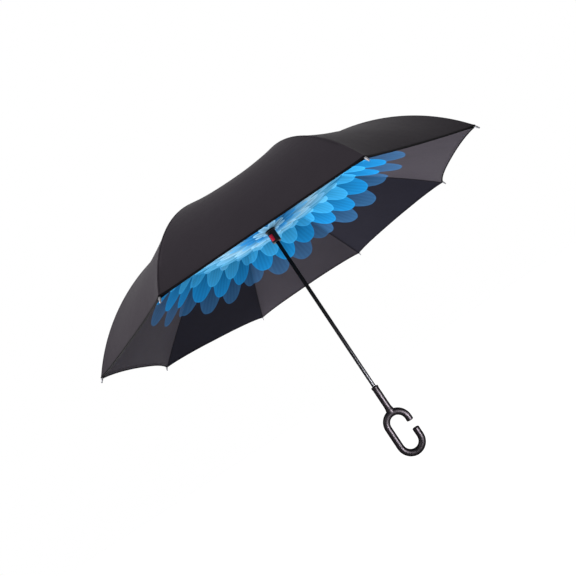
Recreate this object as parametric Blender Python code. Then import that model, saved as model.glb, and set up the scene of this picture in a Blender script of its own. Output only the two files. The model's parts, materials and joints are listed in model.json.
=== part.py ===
"""An inverted stick umbrella: it turns inside out as it closes, so the wet canopy folds inwards.

Metres, +Z up the shaft. The origin is the centre of the C-shaped handle's loop, on the shaft's axis.
The opening of the C looks towards +X. The umbrella stands open, as it is held in the rain.
"""

import math

import bmesh
import bpy
from mathutils import Matrix, Vector

# Clearances and cutting
GAP = 0.0003
OVERRUN = 0.004
MERGE = 0.000001
SHARP_ANGLE = math.radians(35)
BEVEL_SEGMENTS = 2

# C-shaped handle: a round bar bent to a stadium, open on one side
BAR_RADIUS = 0.00875
LOOP_HEIGHT = 0.124
LOOP_WIDTH = 0.074
GAP_TOP_Z = 0.0155
GAP_BOTTOM_Z = -0.0050
BAR_END_BEVEL = 0.0012
BAR_RIM_ANGLE = math.radians(60)
BAR_SIDES_RESOLUTION = 6
BEND_STEPS = 12
SLEEVE_RADIUS = 0.0086
SLEEVE_TOP_Z = 0.128
SLEEVE_LIP_RADIUS = 0.0094
SLEEVE_LIP_HEIGHT = 0.005
SLEEVE_CHAMFER = 0.0008
SLEEVE_FOOT_RADIUS = 0.0112
SLEEVE_FOOT_HEIGHT = 0.010
SLEEVE_FOOT_SHARE = 0.33

# Shaft
SHAFT_RADIUS = 0.005
SHAFT_WALL = 0.0006
SHAFT_BOTTOM_Z = 0.066

# Folding frame, in the plane of one rib
RIB_COUNT = 8
FIRST_RIB_AZIMUTH = math.radians(22.5)
PITCH_RADIUS = 0.0155
HUB_PIVOT_Z = 0.615
STRUT_LENGTH = 0.2518
STRUT_SLOPE = math.radians(15.6)
ROD_ARC_LENGTH = 0.327
ROD_BEND = math.radians(42.8)
ROD_RADIUS = 0.0015
ROD_BEYOND_HEM = 0.005
ROD_STEPS = 10
ROD_SIDES_RESOLUTION = 2

# Eyes, pins and wires of the hinges
EYE_RADIUS = 0.0023
EYE_HALF_THICKNESS = 0.0008
WIRE_RADIUS = 0.00065
WIRE_SIDES = 6
ELBOW_PIN_RADIUS = 0.001
ELBOW_EYE_RADIUS = 0.0026

# Arms: steel channels, open below
ARM_HALF_WIDTH = 0.0022
ARM_HALF_HEIGHT = 0.0023
ARM_WALL = 0.0006
ARM_FLUTE_DEPTH = 0.0034
EYE_FLUTE_DEPTH = 0.0003
EYE_WALL = 0.0005
CHANNEL_START = 0.0065
CHANNEL_FULL = 0.0125

# Stretchers: two flat strips that straddle the arm, joined near the crown
FORK_INNER = 0.003
STRIP_THICKNESS = 0.0008
STRIP_HALF_HEIGHT = 0.002
FORK_ROOT = 0.020
FORK_FULL = 0.030
RIVET_RADIUS = 0.0018
RIVET_HEIGHT = 0.0006
FORK_POINT_HALF_WIDTH = 0.0001

# Elbow knuckles: moulded forks that hold the rods
KNUCKLE_HALF_WIDTH = 0.0027
KNUCKLE_HALF_HEIGHT = 0.003
KNUCKLE_LENGTH = 0.016
KNUCKLE_NOSE_HALF_HEIGHT = 0.0024
SOCKET_DEPTH = 0.008

# Rib tips
TIP_RADIUS = 0.0024
TIP_LENGTH = 0.0115
TIP_NOSE_RADIUS = 0.0013
TIP_BALL_RADIUS = 0.0021
TIP_NOSE_SHARE = 0.33
TIP_STEPS = 10

# Hubs: turned rings with a slot for each rib and a groove for the wire
HUB_RADIUS = 0.0195
HUB_ABOVE_PIVOT = 0.0036
HUB_BELOW_PIVOT = 0.0045
HUB_CHAMFER = 0.0008
SLOT_CLEARANCE = 0.0004
HUB_STEPS = 32

# Runner, from the bottom up: sleeve, flange, lining, washer, hub
RUNNER_RADIUS = 0.0122
RUNNER_BOTTOM_Z = 0.5665
RUNNER_FOOT_HEIGHT = 0.003
RUNNER_FOOT_RADIUS = 0.0110
FLANGE_RADIUS = 0.0147
FLANGE_HEIGHT = 0.0040
FLANGE_CHAMFER = 0.0007
NECK_WALL = 0.0018
WASHER_RADIUS = 0.0150
WASHER_THICKNESS = 0.0012
LINING_WASHER_THICKNESS = 0.0065
SHAFT_CLEARANCE = 0.0003

# Release button and its spring, on the side of the runner
BUTTON_AZIMUTH = math.radians(243)
BUTTON_WIDTH = 0.009
BUTTON_HEIGHT = 0.017
BUTTON_PROUD = 0.0022
BUTTON_TRAVEL = 0.0015
BUTTON_LIP = 0.0015
BUTTON_LIP_THICKNESS = 0.0012
BUTTON_BEVEL = 0.0009
BUTTON_BELOW_FLANGE = 0.0096
BUTTON_COVER = 0.0013
SPRING_RADIUS = 0.0022
SPRING_WIRE_RADIUS = 0.0002
SPRING_TURNS = 2
SPRING_STEPS_PER_TURN = 9
SPRING_SIDES_RESOLUTION = 1

# Crown, above the upper hub
CAP_RADIUS = 0.0100
CAP_HEIGHT = 0.0120
CAP_FLAT_RADIUS = 0.0060
CAP_SKIRT_HEIGHT = 0.0035
CAP_ROOF = 0.0035
CAP_SHOULDER_SHARE = 0.67
CAP_STEPS = 28
STOP_RADIUS = 0.0068
STOP_HEIGHT = 0.005

# Canopies: both are drawn as sheets through the middle of the cloth
CLOTH_THICKNESS = 0.0005
OUTER_LIFT = 0.0047
OUTER_LIFT_AT_TIP = 0.0031
LINING_DROP_AT_TIP = 0.0024
LINING_DROP_AT_ELBOW = 0.042
LINING_HOLD_RADIUS = 0.266
HEM_INWARD = 0.0172
HEM_UPWARD = 0.0049
PANEL_SAG = 0.0086
LINING_SAG = 0.0050
CROWN_FLAT_MARGIN = 0.0012
PANEL_STEPS = 6
INNER_STEPS = 4
OUTER_STEPS = 6

# Plain round pieces
TURN_STEPS = 24
PIN_SIDES = 12
SMALL_PIN_SIDES = 10


def elbow_place():
    """Radius and height of the elbow's pin in a rib's plane, with the umbrella open."""
    radius = PITCH_RADIUS + STRUT_LENGTH * math.cos(STRUT_SLOPE)
    height = HUB_PIVOT_Z + STRUT_LENGTH * math.sin(STRUT_SLOPE)
    return radius, height


ELBOW_RADIUS, ELBOW_Z = elbow_place()
CROWN_PIVOT_Z = ELBOW_Z + STRUT_LENGTH * math.sin(STRUT_SLOPE)
ROD_CURVE_RADIUS = ROD_ARC_LENGTH / ROD_BEND
EYE_DRILL_LENGTH = 2 * (EYE_HALF_THICKNESS + OVERRUN)

BORE_RADIUS = SHAFT_RADIUS + SHAFT_CLEARANCE
NECK_RADIUS = BORE_RADIUS + NECK_WALL
HUB_BORE_RADIUS = NECK_RADIUS + GAP
CROWN_BORE_RADIUS = SHAFT_RADIUS + GAP
HUB_BOTTOM_Z = HUB_PIVOT_Z - HUB_BELOW_PIVOT
HUB_TOP_Z = HUB_PIVOT_Z + HUB_ABOVE_PIVOT
WASHER_TOP_Z = HUB_BOTTOM_Z - GAP
WASHER_BOTTOM_Z = WASHER_TOP_Z - LINING_WASHER_THICKNESS
LINING_CENTRE_Z = WASHER_BOTTOM_Z - GAP - CLOTH_THICKNESS / 2
FLANGE_TOP_Z = LINING_CENTRE_Z - CLOTH_THICKNESS / 2 - GAP
FLANGE_BOTTOM_Z = FLANGE_TOP_Z - FLANGE_HEIGHT
BUTTON_Z = FLANGE_BOTTOM_Z - BUTTON_BELOW_FLANGE - BUTTON_HEIGHT / 2
CROWN_HUB_TOP_Z = CROWN_PIVOT_Z + HUB_BELOW_PIVOT
CROWN_HUB_BOTTOM_Z = CROWN_PIVOT_Z - HUB_ABOVE_PIVOT
CANOPY_CENTRE_Z = CROWN_HUB_TOP_Z + GAP + CLOTH_THICKNESS / 2
CROWN_WASHER_BOTTOM_Z = CANOPY_CENTRE_Z + CLOTH_THICKNESS / 2 + GAP
CAP_BOTTOM_Z = CROWN_WASHER_BOTTOM_Z + WASHER_THICKNESS + GAP
CAP_TOP_Z = CAP_BOTTOM_Z + CAP_HEIGHT
SHAFT_TOP_Z = CAP_TOP_Z - CAP_ROOF - GAP
STOP_TOP_Z = CROWN_HUB_BOTTOM_Z - GAP

BUTTON_INNER_RADIUS = RUNNER_RADIUS - BUTTON_COVER - GAP - BUTTON_LIP_THICKNESS
SPRING_PRESSED_LENGTH = 2 * SPRING_WIRE_RADIUS * (SPRING_TURNS + 1)
POCKET_RADIUS = BUTTON_INNER_RADIUS - BUTTON_TRAVEL - SPRING_PRESSED_LENGTH


def clear_scene():
    for old in list(bpy.data.objects):
        bpy.data.objects.remove(old, do_unlink=True)


def finish(name, colour, roughness, metallic=0.0):
    material = bpy.data.materials.new(name)
    material.use_nodes = True
    shader = material.node_tree.nodes["Principled BSDF"]
    shader.inputs["Base Color"].default_value = (*colour, 1.0)
    shader.inputs["Roughness"].default_value = roughness
    shader.inputs["Metallic"].default_value = metallic
    return material


def link(name, data, material, parent=None):
    """Puts one sub-part in the scene, in the frame of its parent."""
    piece = bpy.data.objects.new(name, data)
    bpy.context.scene.collection.objects.link(piece)
    if not data.materials:
        data.materials.append(material)
    piece.parent = parent
    return piece


def mesh_of(bm, name):
    bmesh.ops.remove_doubles(bm, verts=bm.verts, dist=MERGE)
    bmesh.ops.recalc_face_normals(bm, faces=bm.faces)
    mesh = bpy.data.meshes.new(name)
    bm.to_mesh(mesh)
    bm.free()
    mesh.shade_smooth()
    mesh.set_sharp_from_angle(angle=SHARP_ANGLE)
    return mesh


def turned(name, profile, steps=TURN_STEPS, closed=True):
    """A piece turned on a lathe, from its (radius, height) points.

    A closed profile goes round a ring; an open one starts and ends on the axis.
    """
    bm = bmesh.new()
    points = [bm.verts.new((radius, 0, height)) for radius, height in profile]
    last = len(points) if closed else len(points) - 1
    edges = [bm.edges.new((points[i], points[(i + 1) % len(points)])) for i in range(last)]
    bmesh.ops.spin(
        bm, geom=points + edges, cent=(0, 0, 0), axis=(0, 0, 1), angle=math.tau, steps=steps, use_merge=True
    )
    return mesh_of(bm, name)


def lofted(name, rings):
    """A closed solid through rings of as many points each."""
    bm = bmesh.new()
    rows = [[bm.verts.new(point) for point in ring] for ring in rings]
    count = len(rows[0])
    for row, following in zip(rows, rows[1:]):
        for i in range(count):
            j = (i + 1) % count
            bm.faces.new((row[i], row[j], following[j], following[i]))
    bm.faces.new(list(reversed(rows[0])))
    bm.faces.new(rows[-1])
    return mesh_of(bm, name)


def rounded(bm, edges, width):
    bmesh.ops.bevel(bm, geom=edges, offset=width, segments=BEVEL_SEGMENTS, profile=0.5, affect="EDGES")


def block(name, low, high, bevel=0.0):
    bm = bmesh.new()
    bmesh.ops.create_cube(bm, size=1)
    size = Vector(high) - Vector(low)
    bmesh.ops.scale(bm, vec=size, verts=bm.verts)
    bmesh.ops.translate(bm, vec=(Vector(high) + Vector(low)) / 2, verts=bm.verts)
    if bevel:
        rounded(bm, bm.edges, bevel)
    return mesh_of(bm, name)


def cylinder(name, radius, length, axis, centre=(0, 0, 0), sides=PIN_SIDES):
    bm = bmesh.new()
    bmesh.ops.create_cone(
        bm, cap_ends=True, segments=sides, radius1=radius, radius2=radius, depth=length
    )
    turn = Vector((0, 0, 1)).rotation_difference(Vector(axis))
    bmesh.ops.rotate(bm, verts=bm.verts, cent=(0, 0, 0), matrix=turn.to_matrix())
    bmesh.ops.translate(bm, vec=centre, verts=bm.verts)
    return mesh_of(bm, name)


def cut_and_joined(name, mesh, cutters=(), joined=()):
    """The mesh with other meshes joined to it and cutters taken out of it."""
    base = bpy.data.objects.new(name, mesh)
    bpy.context.scene.collection.objects.link(base)
    helpers = []
    for operation, tools in (("UNION", joined), ("DIFFERENCE", cutters)):
        for tool in tools:
            helper = bpy.data.objects.new(name + "_tool", tool)
            bpy.context.scene.collection.objects.link(helper)
            helper.hide_render = True
            helper.display_type = "WIRE"
            modifier = base.modifiers.new("shape", "BOOLEAN")
            modifier.operation = operation
            modifier.solver = "EXACT"
            modifier.object = helper
            helpers.append(helper)
    bpy.context.view_layer.update()
    graph = bpy.context.evaluated_depsgraph_get()
    result = bpy.data.meshes.new_from_object(base.evaluated_get(graph))
    for temporary in [base, *helpers]:
        bpy.data.objects.remove(temporary, do_unlink=True)
    result.materials.clear()
    result.shade_smooth()
    result.set_sharp_from_angle(angle=SHARP_ANGLE)
    return result


def bent_bar(name, points, radius, sides_resolution):
    """A round bar along points, as a mesh with flat ends."""
    curve = bar_curve(name, points, radius, sides_resolution)
    helper = bpy.data.objects.new(name, curve)
    bpy.context.scene.collection.objects.link(helper)
    bpy.context.view_layer.update()
    graph = bpy.context.evaluated_depsgraph_get()
    shape = bpy.data.meshes.new_from_object(helper.evaluated_get(graph))
    bpy.data.objects.remove(helper, do_unlink=True)
    bm = bmesh.new()
    bm.from_mesh(shape)
    return mesh_of(bm, name)


def bar_curve(name, points, radius, sides_resolution):
    curve = bpy.data.curves.new(name, "CURVE")
    curve.dimensions = "3D"
    curve.bevel_depth = radius
    curve.bevel_resolution = sides_resolution
    curve.use_fill_caps = True
    spline = curve.splines.new("POLY")
    spline.points.add(len(points) - 1)
    for target, point in zip(spline.points, points):
        target.co = (*point, 1)
    return curve


def handle_route():
    """The middle line of the C: down from the upper end, round the back and up to the lower end."""
    reach = LOOP_WIDTH / 2 - BAR_RADIUS
    straight = (LOOP_HEIGHT - LOOP_WIDTH) / 2
    route = [(reach, 0, GAP_TOP_Z)]
    for centre_z, start in ((straight, 0.0), (-straight, math.pi)):
        for step in range(BEND_STEPS + 1):
            angle = start + math.pi * step / BEND_STEPS
            route.append((reach * math.cos(angle), 0, centre_z + reach * math.sin(angle)))
    route.append((reach, 0, GAP_BOTTOM_Z))
    return route


def handle_mesh():
    bar = bent_bar("c_handle", handle_route(), BAR_RADIUS, BAR_SIDES_RESOLUTION)
    bm = bmesh.new()
    bm.from_mesh(bar)
    rims = [edge for edge in bm.edges if edge.calc_face_angle(0) > BAR_RIM_ANGLE]
    rounded(bm, rims, BAR_END_BEVEL)
    bar = mesh_of(bm, "c_handle")
    loop_top_z = LOOP_HEIGHT / 2
    foot_z = loop_top_z - BAR_RADIUS
    sleeve = turned(
        "handle_sleeve",
        [
            (0, foot_z),
            (BAR_RADIUS - SLEEVE_CHAMFER, foot_z),
            (SLEEVE_FOOT_RADIUS, loop_top_z - BAR_RADIUS * SLEEVE_FOOT_SHARE),
            (SLEEVE_RADIUS, loop_top_z + SLEEVE_FOOT_HEIGHT),
            (SLEEVE_RADIUS, SLEEVE_TOP_Z - SLEEVE_LIP_HEIGHT - SLEEVE_CHAMFER),
            (SLEEVE_LIP_RADIUS, SLEEVE_TOP_Z - SLEEVE_LIP_HEIGHT),
            (SLEEVE_LIP_RADIUS, SLEEVE_TOP_Z - SLEEVE_CHAMFER),
            (SLEEVE_LIP_RADIUS - SLEEVE_CHAMFER, SLEEVE_TOP_Z),
            (0, SLEEVE_TOP_Z),
        ],
        steps=TURN_STEPS,
        closed=False,
    )
    bore_bottom_z = SHAFT_BOTTOM_Z - GAP
    bore_top_z = SLEEVE_TOP_Z + OVERRUN
    bore = cylinder(
        "handle_bore",
        SHAFT_RADIUS + GAP,
        bore_top_z - bore_bottom_z,
        (0, 0, 1),
        (0, 0, (bore_top_z + bore_bottom_z) / 2),
        TURN_STEPS,
    )
    return cut_and_joined("c_handle", bar, cutters=[bore], joined=[sleeve])


def shaft_mesh():
    inner = SHAFT_RADIUS - SHAFT_WALL
    return turned(
        "shaft_tube",
        [
            (inner, SHAFT_BOTTOM_Z),
            (SHAFT_RADIUS, SHAFT_BOTTOM_Z),
            (SHAFT_RADIUS, SHAFT_TOP_Z),
            (inner, SHAFT_TOP_Z),
        ],
    )


def hub_mesh(name, bore_radius):
    """A slotted ring about its pivot circle; its thick side and wire groove are below."""
    groove_half = WIRE_RADIUS + GAP
    ring = turned(
        name,
        [
            (bore_radius, -HUB_BELOW_PIVOT),
            (PITCH_RADIUS - groove_half, -HUB_BELOW_PIVOT),
            (PITCH_RADIUS - groove_half, groove_half),
            (PITCH_RADIUS + groove_half, groove_half),
            (PITCH_RADIUS + groove_half, -HUB_BELOW_PIVOT),
            (HUB_RADIUS - HUB_CHAMFER, -HUB_BELOW_PIVOT),
            (HUB_RADIUS, -HUB_BELOW_PIVOT + HUB_CHAMFER),
            (HUB_RADIUS, HUB_ABOVE_PIVOT - HUB_CHAMFER),
            (HUB_RADIUS - HUB_CHAMFER, HUB_ABOVE_PIVOT),
            (bore_radius, HUB_ABOVE_PIVOT),
        ],
        steps=HUB_STEPS,
    )
    slot_half = EYE_HALF_THICKNESS + SLOT_CLEARANCE
    slot_start = PITCH_RADIUS - EYE_RADIUS - SLOT_CLEARANCE
    slots = []
    for rib in range(RIB_COUNT):
        slot = block(
            "slot",
            (slot_start, -slot_half, -HUB_BELOW_PIVOT - OVERRUN),
            (HUB_RADIUS + OVERRUN, slot_half, HUB_ABOVE_PIVOT + OVERRUN),
        )
        slot.transform(Matrix.Rotation(rib_azimuth(rib), 4, "Z"))
        slots.append(slot)
    return cut_and_joined(name, ring, cutters=slots)


def wire_mesh(name):
    """The wire ring that threads the eyes of all eight ribs."""
    section = []
    for side in range(WIRE_SIDES):
        angle = math.tau * side / WIRE_SIDES
        section.append((PITCH_RADIUS + WIRE_RADIUS * math.cos(angle), WIRE_RADIUS * math.sin(angle)))
    return turned(name, section, steps=HUB_STEPS)


def washer_mesh(name, bore_radius, thickness):
    return turned(
        name,
        [
            (bore_radius, 0),
            (WASHER_RADIUS, 0),
            (WASHER_RADIUS, thickness),
            (bore_radius, thickness),
        ],
    )


def runner_mesh():
    """The sliding sleeve with its flange, the neck that carries the hub, and the button's pocket."""
    body = turned(
        "runner_sleeve",
        [
            (BORE_RADIUS, RUNNER_BOTTOM_Z),
            (RUNNER_FOOT_RADIUS, RUNNER_BOTTOM_Z),
            (RUNNER_RADIUS, RUNNER_BOTTOM_Z + RUNNER_FOOT_HEIGHT),
            (RUNNER_RADIUS, FLANGE_BOTTOM_Z),
            (FLANGE_RADIUS - FLANGE_CHAMFER, FLANGE_BOTTOM_Z),
            (FLANGE_RADIUS, FLANGE_BOTTOM_Z + FLANGE_CHAMFER),
            (FLANGE_RADIUS, FLANGE_TOP_Z - FLANGE_CHAMFER),
            (FLANGE_RADIUS - FLANGE_CHAMFER, FLANGE_TOP_Z),
            (NECK_RADIUS, FLANGE_TOP_Z),
            (NECK_RADIUS, HUB_TOP_Z),
            (BORE_RADIUS, HUB_TOP_Z),
        ],
        steps=HUB_STEPS,
    )
    window_start = RUNNER_RADIUS - BUTTON_COVER
    half_width = BUTTON_WIDTH / 2 + GAP
    half_height = BUTTON_HEIGHT / 2 + GAP
    cutters = [
        block(
            "pocket",
            (POCKET_RADIUS, -half_width, BUTTON_Z - half_height - BUTTON_LIP),
            (window_start, half_width, BUTTON_Z + half_height + BUTTON_LIP),
        ),
        block(
            "window",
            (window_start - GAP, -half_width, BUTTON_Z - half_height),
            (RUNNER_RADIUS + OVERRUN, half_width, BUTTON_Z + half_height),
        ),
    ]
    for cutter in cutters:
        cutter.transform(Matrix.Rotation(BUTTON_AZIMUTH, 4, "Z"))
    return cut_and_joined("runner_sleeve", body, cutters=cutters)


def button_meshes():
    """The push button, whose lips keep it in the sleeve, and the coil spring behind it.

    Local +X points outwards.
    """
    inner = BUTTON_INNER_RADIUS
    outer = RUNNER_RADIUS + BUTTON_PROUD
    face = block(
        "button_face",
        (inner, -BUTTON_WIDTH / 2, -BUTTON_HEIGHT / 2),
        (outer, BUTTON_WIDTH / 2, BUTTON_HEIGHT / 2),
        BUTTON_BEVEL,
    )
    lip = block(
        "button_lip",
        (inner, -BUTTON_WIDTH / 2, -BUTTON_HEIGHT / 2 - BUTTON_LIP),
        (inner + BUTTON_LIP_THICKNESS, BUTTON_WIDTH / 2, BUTTON_HEIGHT / 2 + BUTTON_LIP),
    )
    button = cut_and_joined("release_button", lip, joined=[face])
    start = POCKET_RADIUS + GAP + SPRING_WIRE_RADIUS
    length = inner - GAP - SPRING_WIRE_RADIUS - start
    steps = SPRING_TURNS * SPRING_STEPS_PER_TURN
    coil = []
    for step in range(steps + 1):
        angle = math.tau * SPRING_TURNS * step / steps
        along = start + length * step / steps
        coil.append((along, SPRING_RADIUS * math.cos(angle), SPRING_RADIUS * math.sin(angle)))
    print("spring's least gap to itself", round(least_gap(coil), 5))
    return button, bent_bar("button_spring", coil, SPRING_WIRE_RADIUS, SPRING_SIDES_RESOLUTION)


def least_gap(coil):
    """The least distance between the spring's turns, measured on points half a turn or more apart."""
    apart = SPRING_STEPS_PER_TURN // 2
    distances = []
    for i, point in enumerate(coil):
        distances += [math.dist(point, other) for other in coil[i + apart :]]
    return min(distances) - 2 * SPRING_WIRE_RADIUS


def cap_mesh():
    shoulder = CAP_FLAT_RADIUS + (CAP_RADIUS - CAP_FLAT_RADIUS) * CAP_SHOULDER_SHARE
    return turned(
        "crown_cap",
        [
            (0, CAP_TOP_Z),
            (CAP_FLAT_RADIUS, CAP_TOP_Z),
            (shoulder, CAP_TOP_Z - CAP_SKIRT_HEIGHT / 2),
            (CAP_RADIUS, CAP_BOTTOM_Z + CAP_SKIRT_HEIGHT),
            (CAP_RADIUS, CAP_BOTTOM_Z),
            (CROWN_BORE_RADIUS, CAP_BOTTOM_Z),
            (CROWN_BORE_RADIUS, CAP_TOP_Z - CAP_ROOF),
            (0, CAP_TOP_Z - CAP_ROOF),
        ],
        steps=CAP_STEPS,
        closed=False,
    )


def stop_mesh():
    """The collar that the runner's hub comes up against when the umbrella is open."""
    return turned(
        "stop_collar",
        [
            (CROWN_BORE_RADIUS, STOP_TOP_Z - STOP_HEIGHT),
            (STOP_RADIUS - HUB_CHAMFER, STOP_TOP_Z - STOP_HEIGHT),
            (STOP_RADIUS, STOP_TOP_Z - STOP_HEIGHT + HUB_CHAMFER),
            (STOP_RADIUS, STOP_TOP_Z),
            (CROWN_BORE_RADIUS, STOP_TOP_Z),
        ],
    )


def channel_ring(x, half_width, half_height, wall, flute):
    """One section of a pressed channel, open below."""
    inner = half_width - wall
    return [
        (x, -half_width, -half_height),
        (x, -half_width, half_height),
        (x, half_width, half_height),
        (x, half_width, -half_height),
        (x, inner, -half_height),
        (x, inner, -half_height + flute),
        (x, -inner, -half_height + flute),
        (x, -inner, -half_height),
    ]


def eye_sections(radius, reach_shares=(-0.92, -0.55, 0.0)):
    """Half-heights of the round end of a flat eye, from its outer edge to its centre."""
    return [(share * radius, radius * math.sqrt(1 - share * share)) for share in reach_shares]


def arm_mesh():
    """A steel channel flattened to an eye at both ends. Local +X runs from the runner to the elbow."""
    rings = []
    for x, half_height in eye_sections(EYE_RADIUS):
        rings.append(channel_ring(x, EYE_HALF_THICKNESS, half_height, EYE_WALL, EYE_FLUTE_DEPTH))
    rings.append(channel_ring(CHANNEL_START, EYE_HALF_THICKNESS, EYE_RADIUS, EYE_WALL, EYE_FLUTE_DEPTH))
    for x in (CHANNEL_FULL, STRUT_LENGTH - CHANNEL_FULL):
        rings.append(channel_ring(x, ARM_HALF_WIDTH, ARM_HALF_HEIGHT, ARM_WALL, ARM_FLUTE_DEPTH))
    rings.append(
        channel_ring(
            STRUT_LENGTH - CHANNEL_START, EYE_HALF_THICKNESS, ELBOW_EYE_RADIUS, EYE_WALL, EYE_FLUTE_DEPTH
        )
    )
    for x, half_height in reversed(eye_sections(ELBOW_EYE_RADIUS)):
        rings.append(
            channel_ring(STRUT_LENGTH - x, EYE_HALF_THICKNESS, half_height, EYE_WALL, EYE_FLUTE_DEPTH)
        )
    holes = [
        cylinder("hub_hole", WIRE_RADIUS + GAP, EYE_DRILL_LENGTH, (0, 1, 0)),
        cylinder("elbow_hole", ELBOW_PIN_RADIUS + GAP, EYE_DRILL_LENGTH, (0, 1, 0), (STRUT_LENGTH, 0, 0)),
    ]
    return cut_and_joined("rib_arm", lofted("rib_arm", rings), cutters=holes)


def strip_ring(x, inner, outer, half_height):
    return [
        (x, inner, -half_height),
        (x, inner, half_height),
        (x, outer, half_height),
        (x, outer, -half_height),
    ]


def stretcher_mesh():
    """A flat eye on the crown's wire that forks into two strips.

    Local +X runs from the crown to the elbow.
    """
    outer = FORK_INNER + STRIP_THICKNESS
    rings = []
    for x, half_height in eye_sections(EYE_RADIUS):
        rings.append(strip_ring(x, -EYE_HALF_THICKNESS, EYE_HALF_THICKNESS, half_height))
    rings.append(strip_ring(FORK_ROOT, -EYE_HALF_THICKNESS, EYE_HALF_THICKNESS, STRIP_HALF_HEIGHT))
    rings.append(strip_ring(FORK_FULL, -outer, outer, STRIP_HALF_HEIGHT))
    for x, half_height in reversed(eye_sections(EYE_RADIUS)):
        rings.append(strip_ring(STRUT_LENGTH - x, -outer, outer, half_height))
    solid = lofted("stretcher", rings)
    high = STRIP_HALF_HEIGHT + OVERRUN
    opening = lofted(
        "fork_opening",
        [
            strip_ring(FORK_FULL, -FORK_POINT_HALF_WIDTH, FORK_POINT_HALF_WIDTH, high),
            strip_ring(FORK_FULL + FORK_INNER, -FORK_INNER, FORK_INNER, high),
            strip_ring(STRUT_LENGTH + OVERRUN, -FORK_INNER, FORK_INNER, high),
        ],
    )
    hole = cylinder("crown_hole", WIRE_RADIUS + GAP, EYE_DRILL_LENGTH, (0, 1, 0))
    rivets = []
    for side in (-1, 1):
        rivet_start = FORK_INNER + STRIP_THICKNESS / 2
        rivet_end = outer + RIVET_HEIGHT
        centre = (STRUT_LENGTH, side * (rivet_start + rivet_end) / 2, 0)
        rivets.append(
            cylinder("rivet", RIVET_RADIUS, rivet_end - rivet_start, (0, 1, 0), centre, SMALL_PIN_SIDES)
        )
    forked = cut_and_joined("stretcher", solid, cutters=[opening, hole])
    return cut_and_joined("stretcher", forked, joined=rivets)


def knuckle_mesh():
    """The elbow's fork, its pin and the socket of the rod. Local +X runs along the rod."""
    rings = []
    for x, half_height in eye_sections(KNUCKLE_HALF_HEIGHT):
        rings.append(strip_ring(x, -KNUCKLE_HALF_WIDTH, KNUCKLE_HALF_WIDTH, half_height))
    for x, half_height in (
        (KNUCKLE_LENGTH / 2, KNUCKLE_HALF_HEIGHT),
        (KNUCKLE_LENGTH, KNUCKLE_NOSE_HALF_HEIGHT),
    ):
        rings.append(strip_ring(x, -KNUCKLE_HALF_WIDTH, KNUCKLE_HALF_WIDTH, half_height))
    slot_half = EYE_HALF_THICKNESS + GAP
    high = KNUCKLE_HALF_HEIGHT + OVERRUN
    slot = block(
        "elbow_slot",
        (-KNUCKLE_HALF_HEIGHT - OVERRUN, -slot_half, -high),
        (ELBOW_EYE_RADIUS + SLOT_CLEARANCE, slot_half, high),
    )
    socket_length = SOCKET_DEPTH + OVERRUN
    socket = cylinder(
        "socket",
        ROD_RADIUS + GAP,
        socket_length,
        (1, 0, 0),
        (KNUCKLE_LENGTH - SOCKET_DEPTH + socket_length / 2, 0, 0),
    )
    body = cut_and_joined("rib_knuckle", lofted("rib_knuckle", rings), cutters=[slot, socket])
    pin_length = KNUCKLE_HALF_WIDTH + slot_half
    pin = cylinder("elbow_pin", ELBOW_PIN_RADIUS, pin_length, (0, 1, 0), sides=SMALL_PIN_SIDES)
    return cut_and_joined("rib_knuckle", body, joined=[pin])


def rod_route():
    """Straight in the socket, bent evenly down to the hem, and straight again inside the tip."""
    route = [(KNUCKLE_LENGTH - SOCKET_DEPTH + GAP, 0, 0)]
    for step in range(ROD_STEPS + 1):
        x, z = rod_place(ROD_BEND * step / ROD_STEPS)
        route.append((x, 0, z))
    route.append((x + ROD_BEYOND_HEM * math.cos(ROD_BEND), 0, z - ROD_BEYOND_HEM * math.sin(ROD_BEND)))
    return route


def rod_place(angle, above=0.0):
    """A point of the rod's arc in the rod's own plane, offset to its upper side."""
    x = KNUCKLE_LENGTH + ROD_CURVE_RADIUS * math.sin(angle) + above * math.sin(angle)
    z = -ROD_CURVE_RADIUS * (1 - math.cos(angle)) + above * math.cos(angle)
    return x, z


def tip_mesh():
    """The small moulded tip that holds the corner of the cloth. Local +Z runs out of the rod's end."""
    bore = ROD_RADIUS + GAP
    inside = ROD_BEYOND_HEM + GAP
    neck = (inside + TIP_LENGTH) / 2
    return turned(
        "rib_tip",
        [
            (0, TIP_LENGTH),
            (TIP_NOSE_RADIUS, TIP_LENGTH - TIP_NOSE_RADIUS * TIP_NOSE_SHARE),
            (TIP_BALL_RADIUS, TIP_LENGTH - TIP_BALL_RADIUS),
            (TIP_NOSE_RADIUS, neck),
            (TIP_RADIUS, inside),
            (TIP_RADIUS, GAP),
            (bore, GAP),
            (bore, inside),
            (0, inside),
        ],
        steps=TIP_STEPS,
        closed=False,
    )


def rib_azimuth(rib):
    return FIRST_RIB_AZIMUTH + math.tau * rib / RIB_COUNT


def hinge_frame(name, radius, height, azimuth):
    """An empty on a hinge's axis: its X points outwards from the shaft, its Y lies along the axis."""
    empty = bpy.data.objects.new(name, None)
    bpy.context.scene.collection.objects.link(empty)
    empty.location = (radius * math.cos(azimuth), radius * math.sin(azimuth), height)
    empty.rotation_euler = (0, 0, azimuth)
    return empty


def flat_radius(supported_radius):
    """Where a cloth leaves its support at a rib, so that the panels between the ribs clear it too."""
    return (supported_radius + CROWN_FLAT_MARGIN) / math.cos(math.pi / RIB_COUNT)


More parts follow.
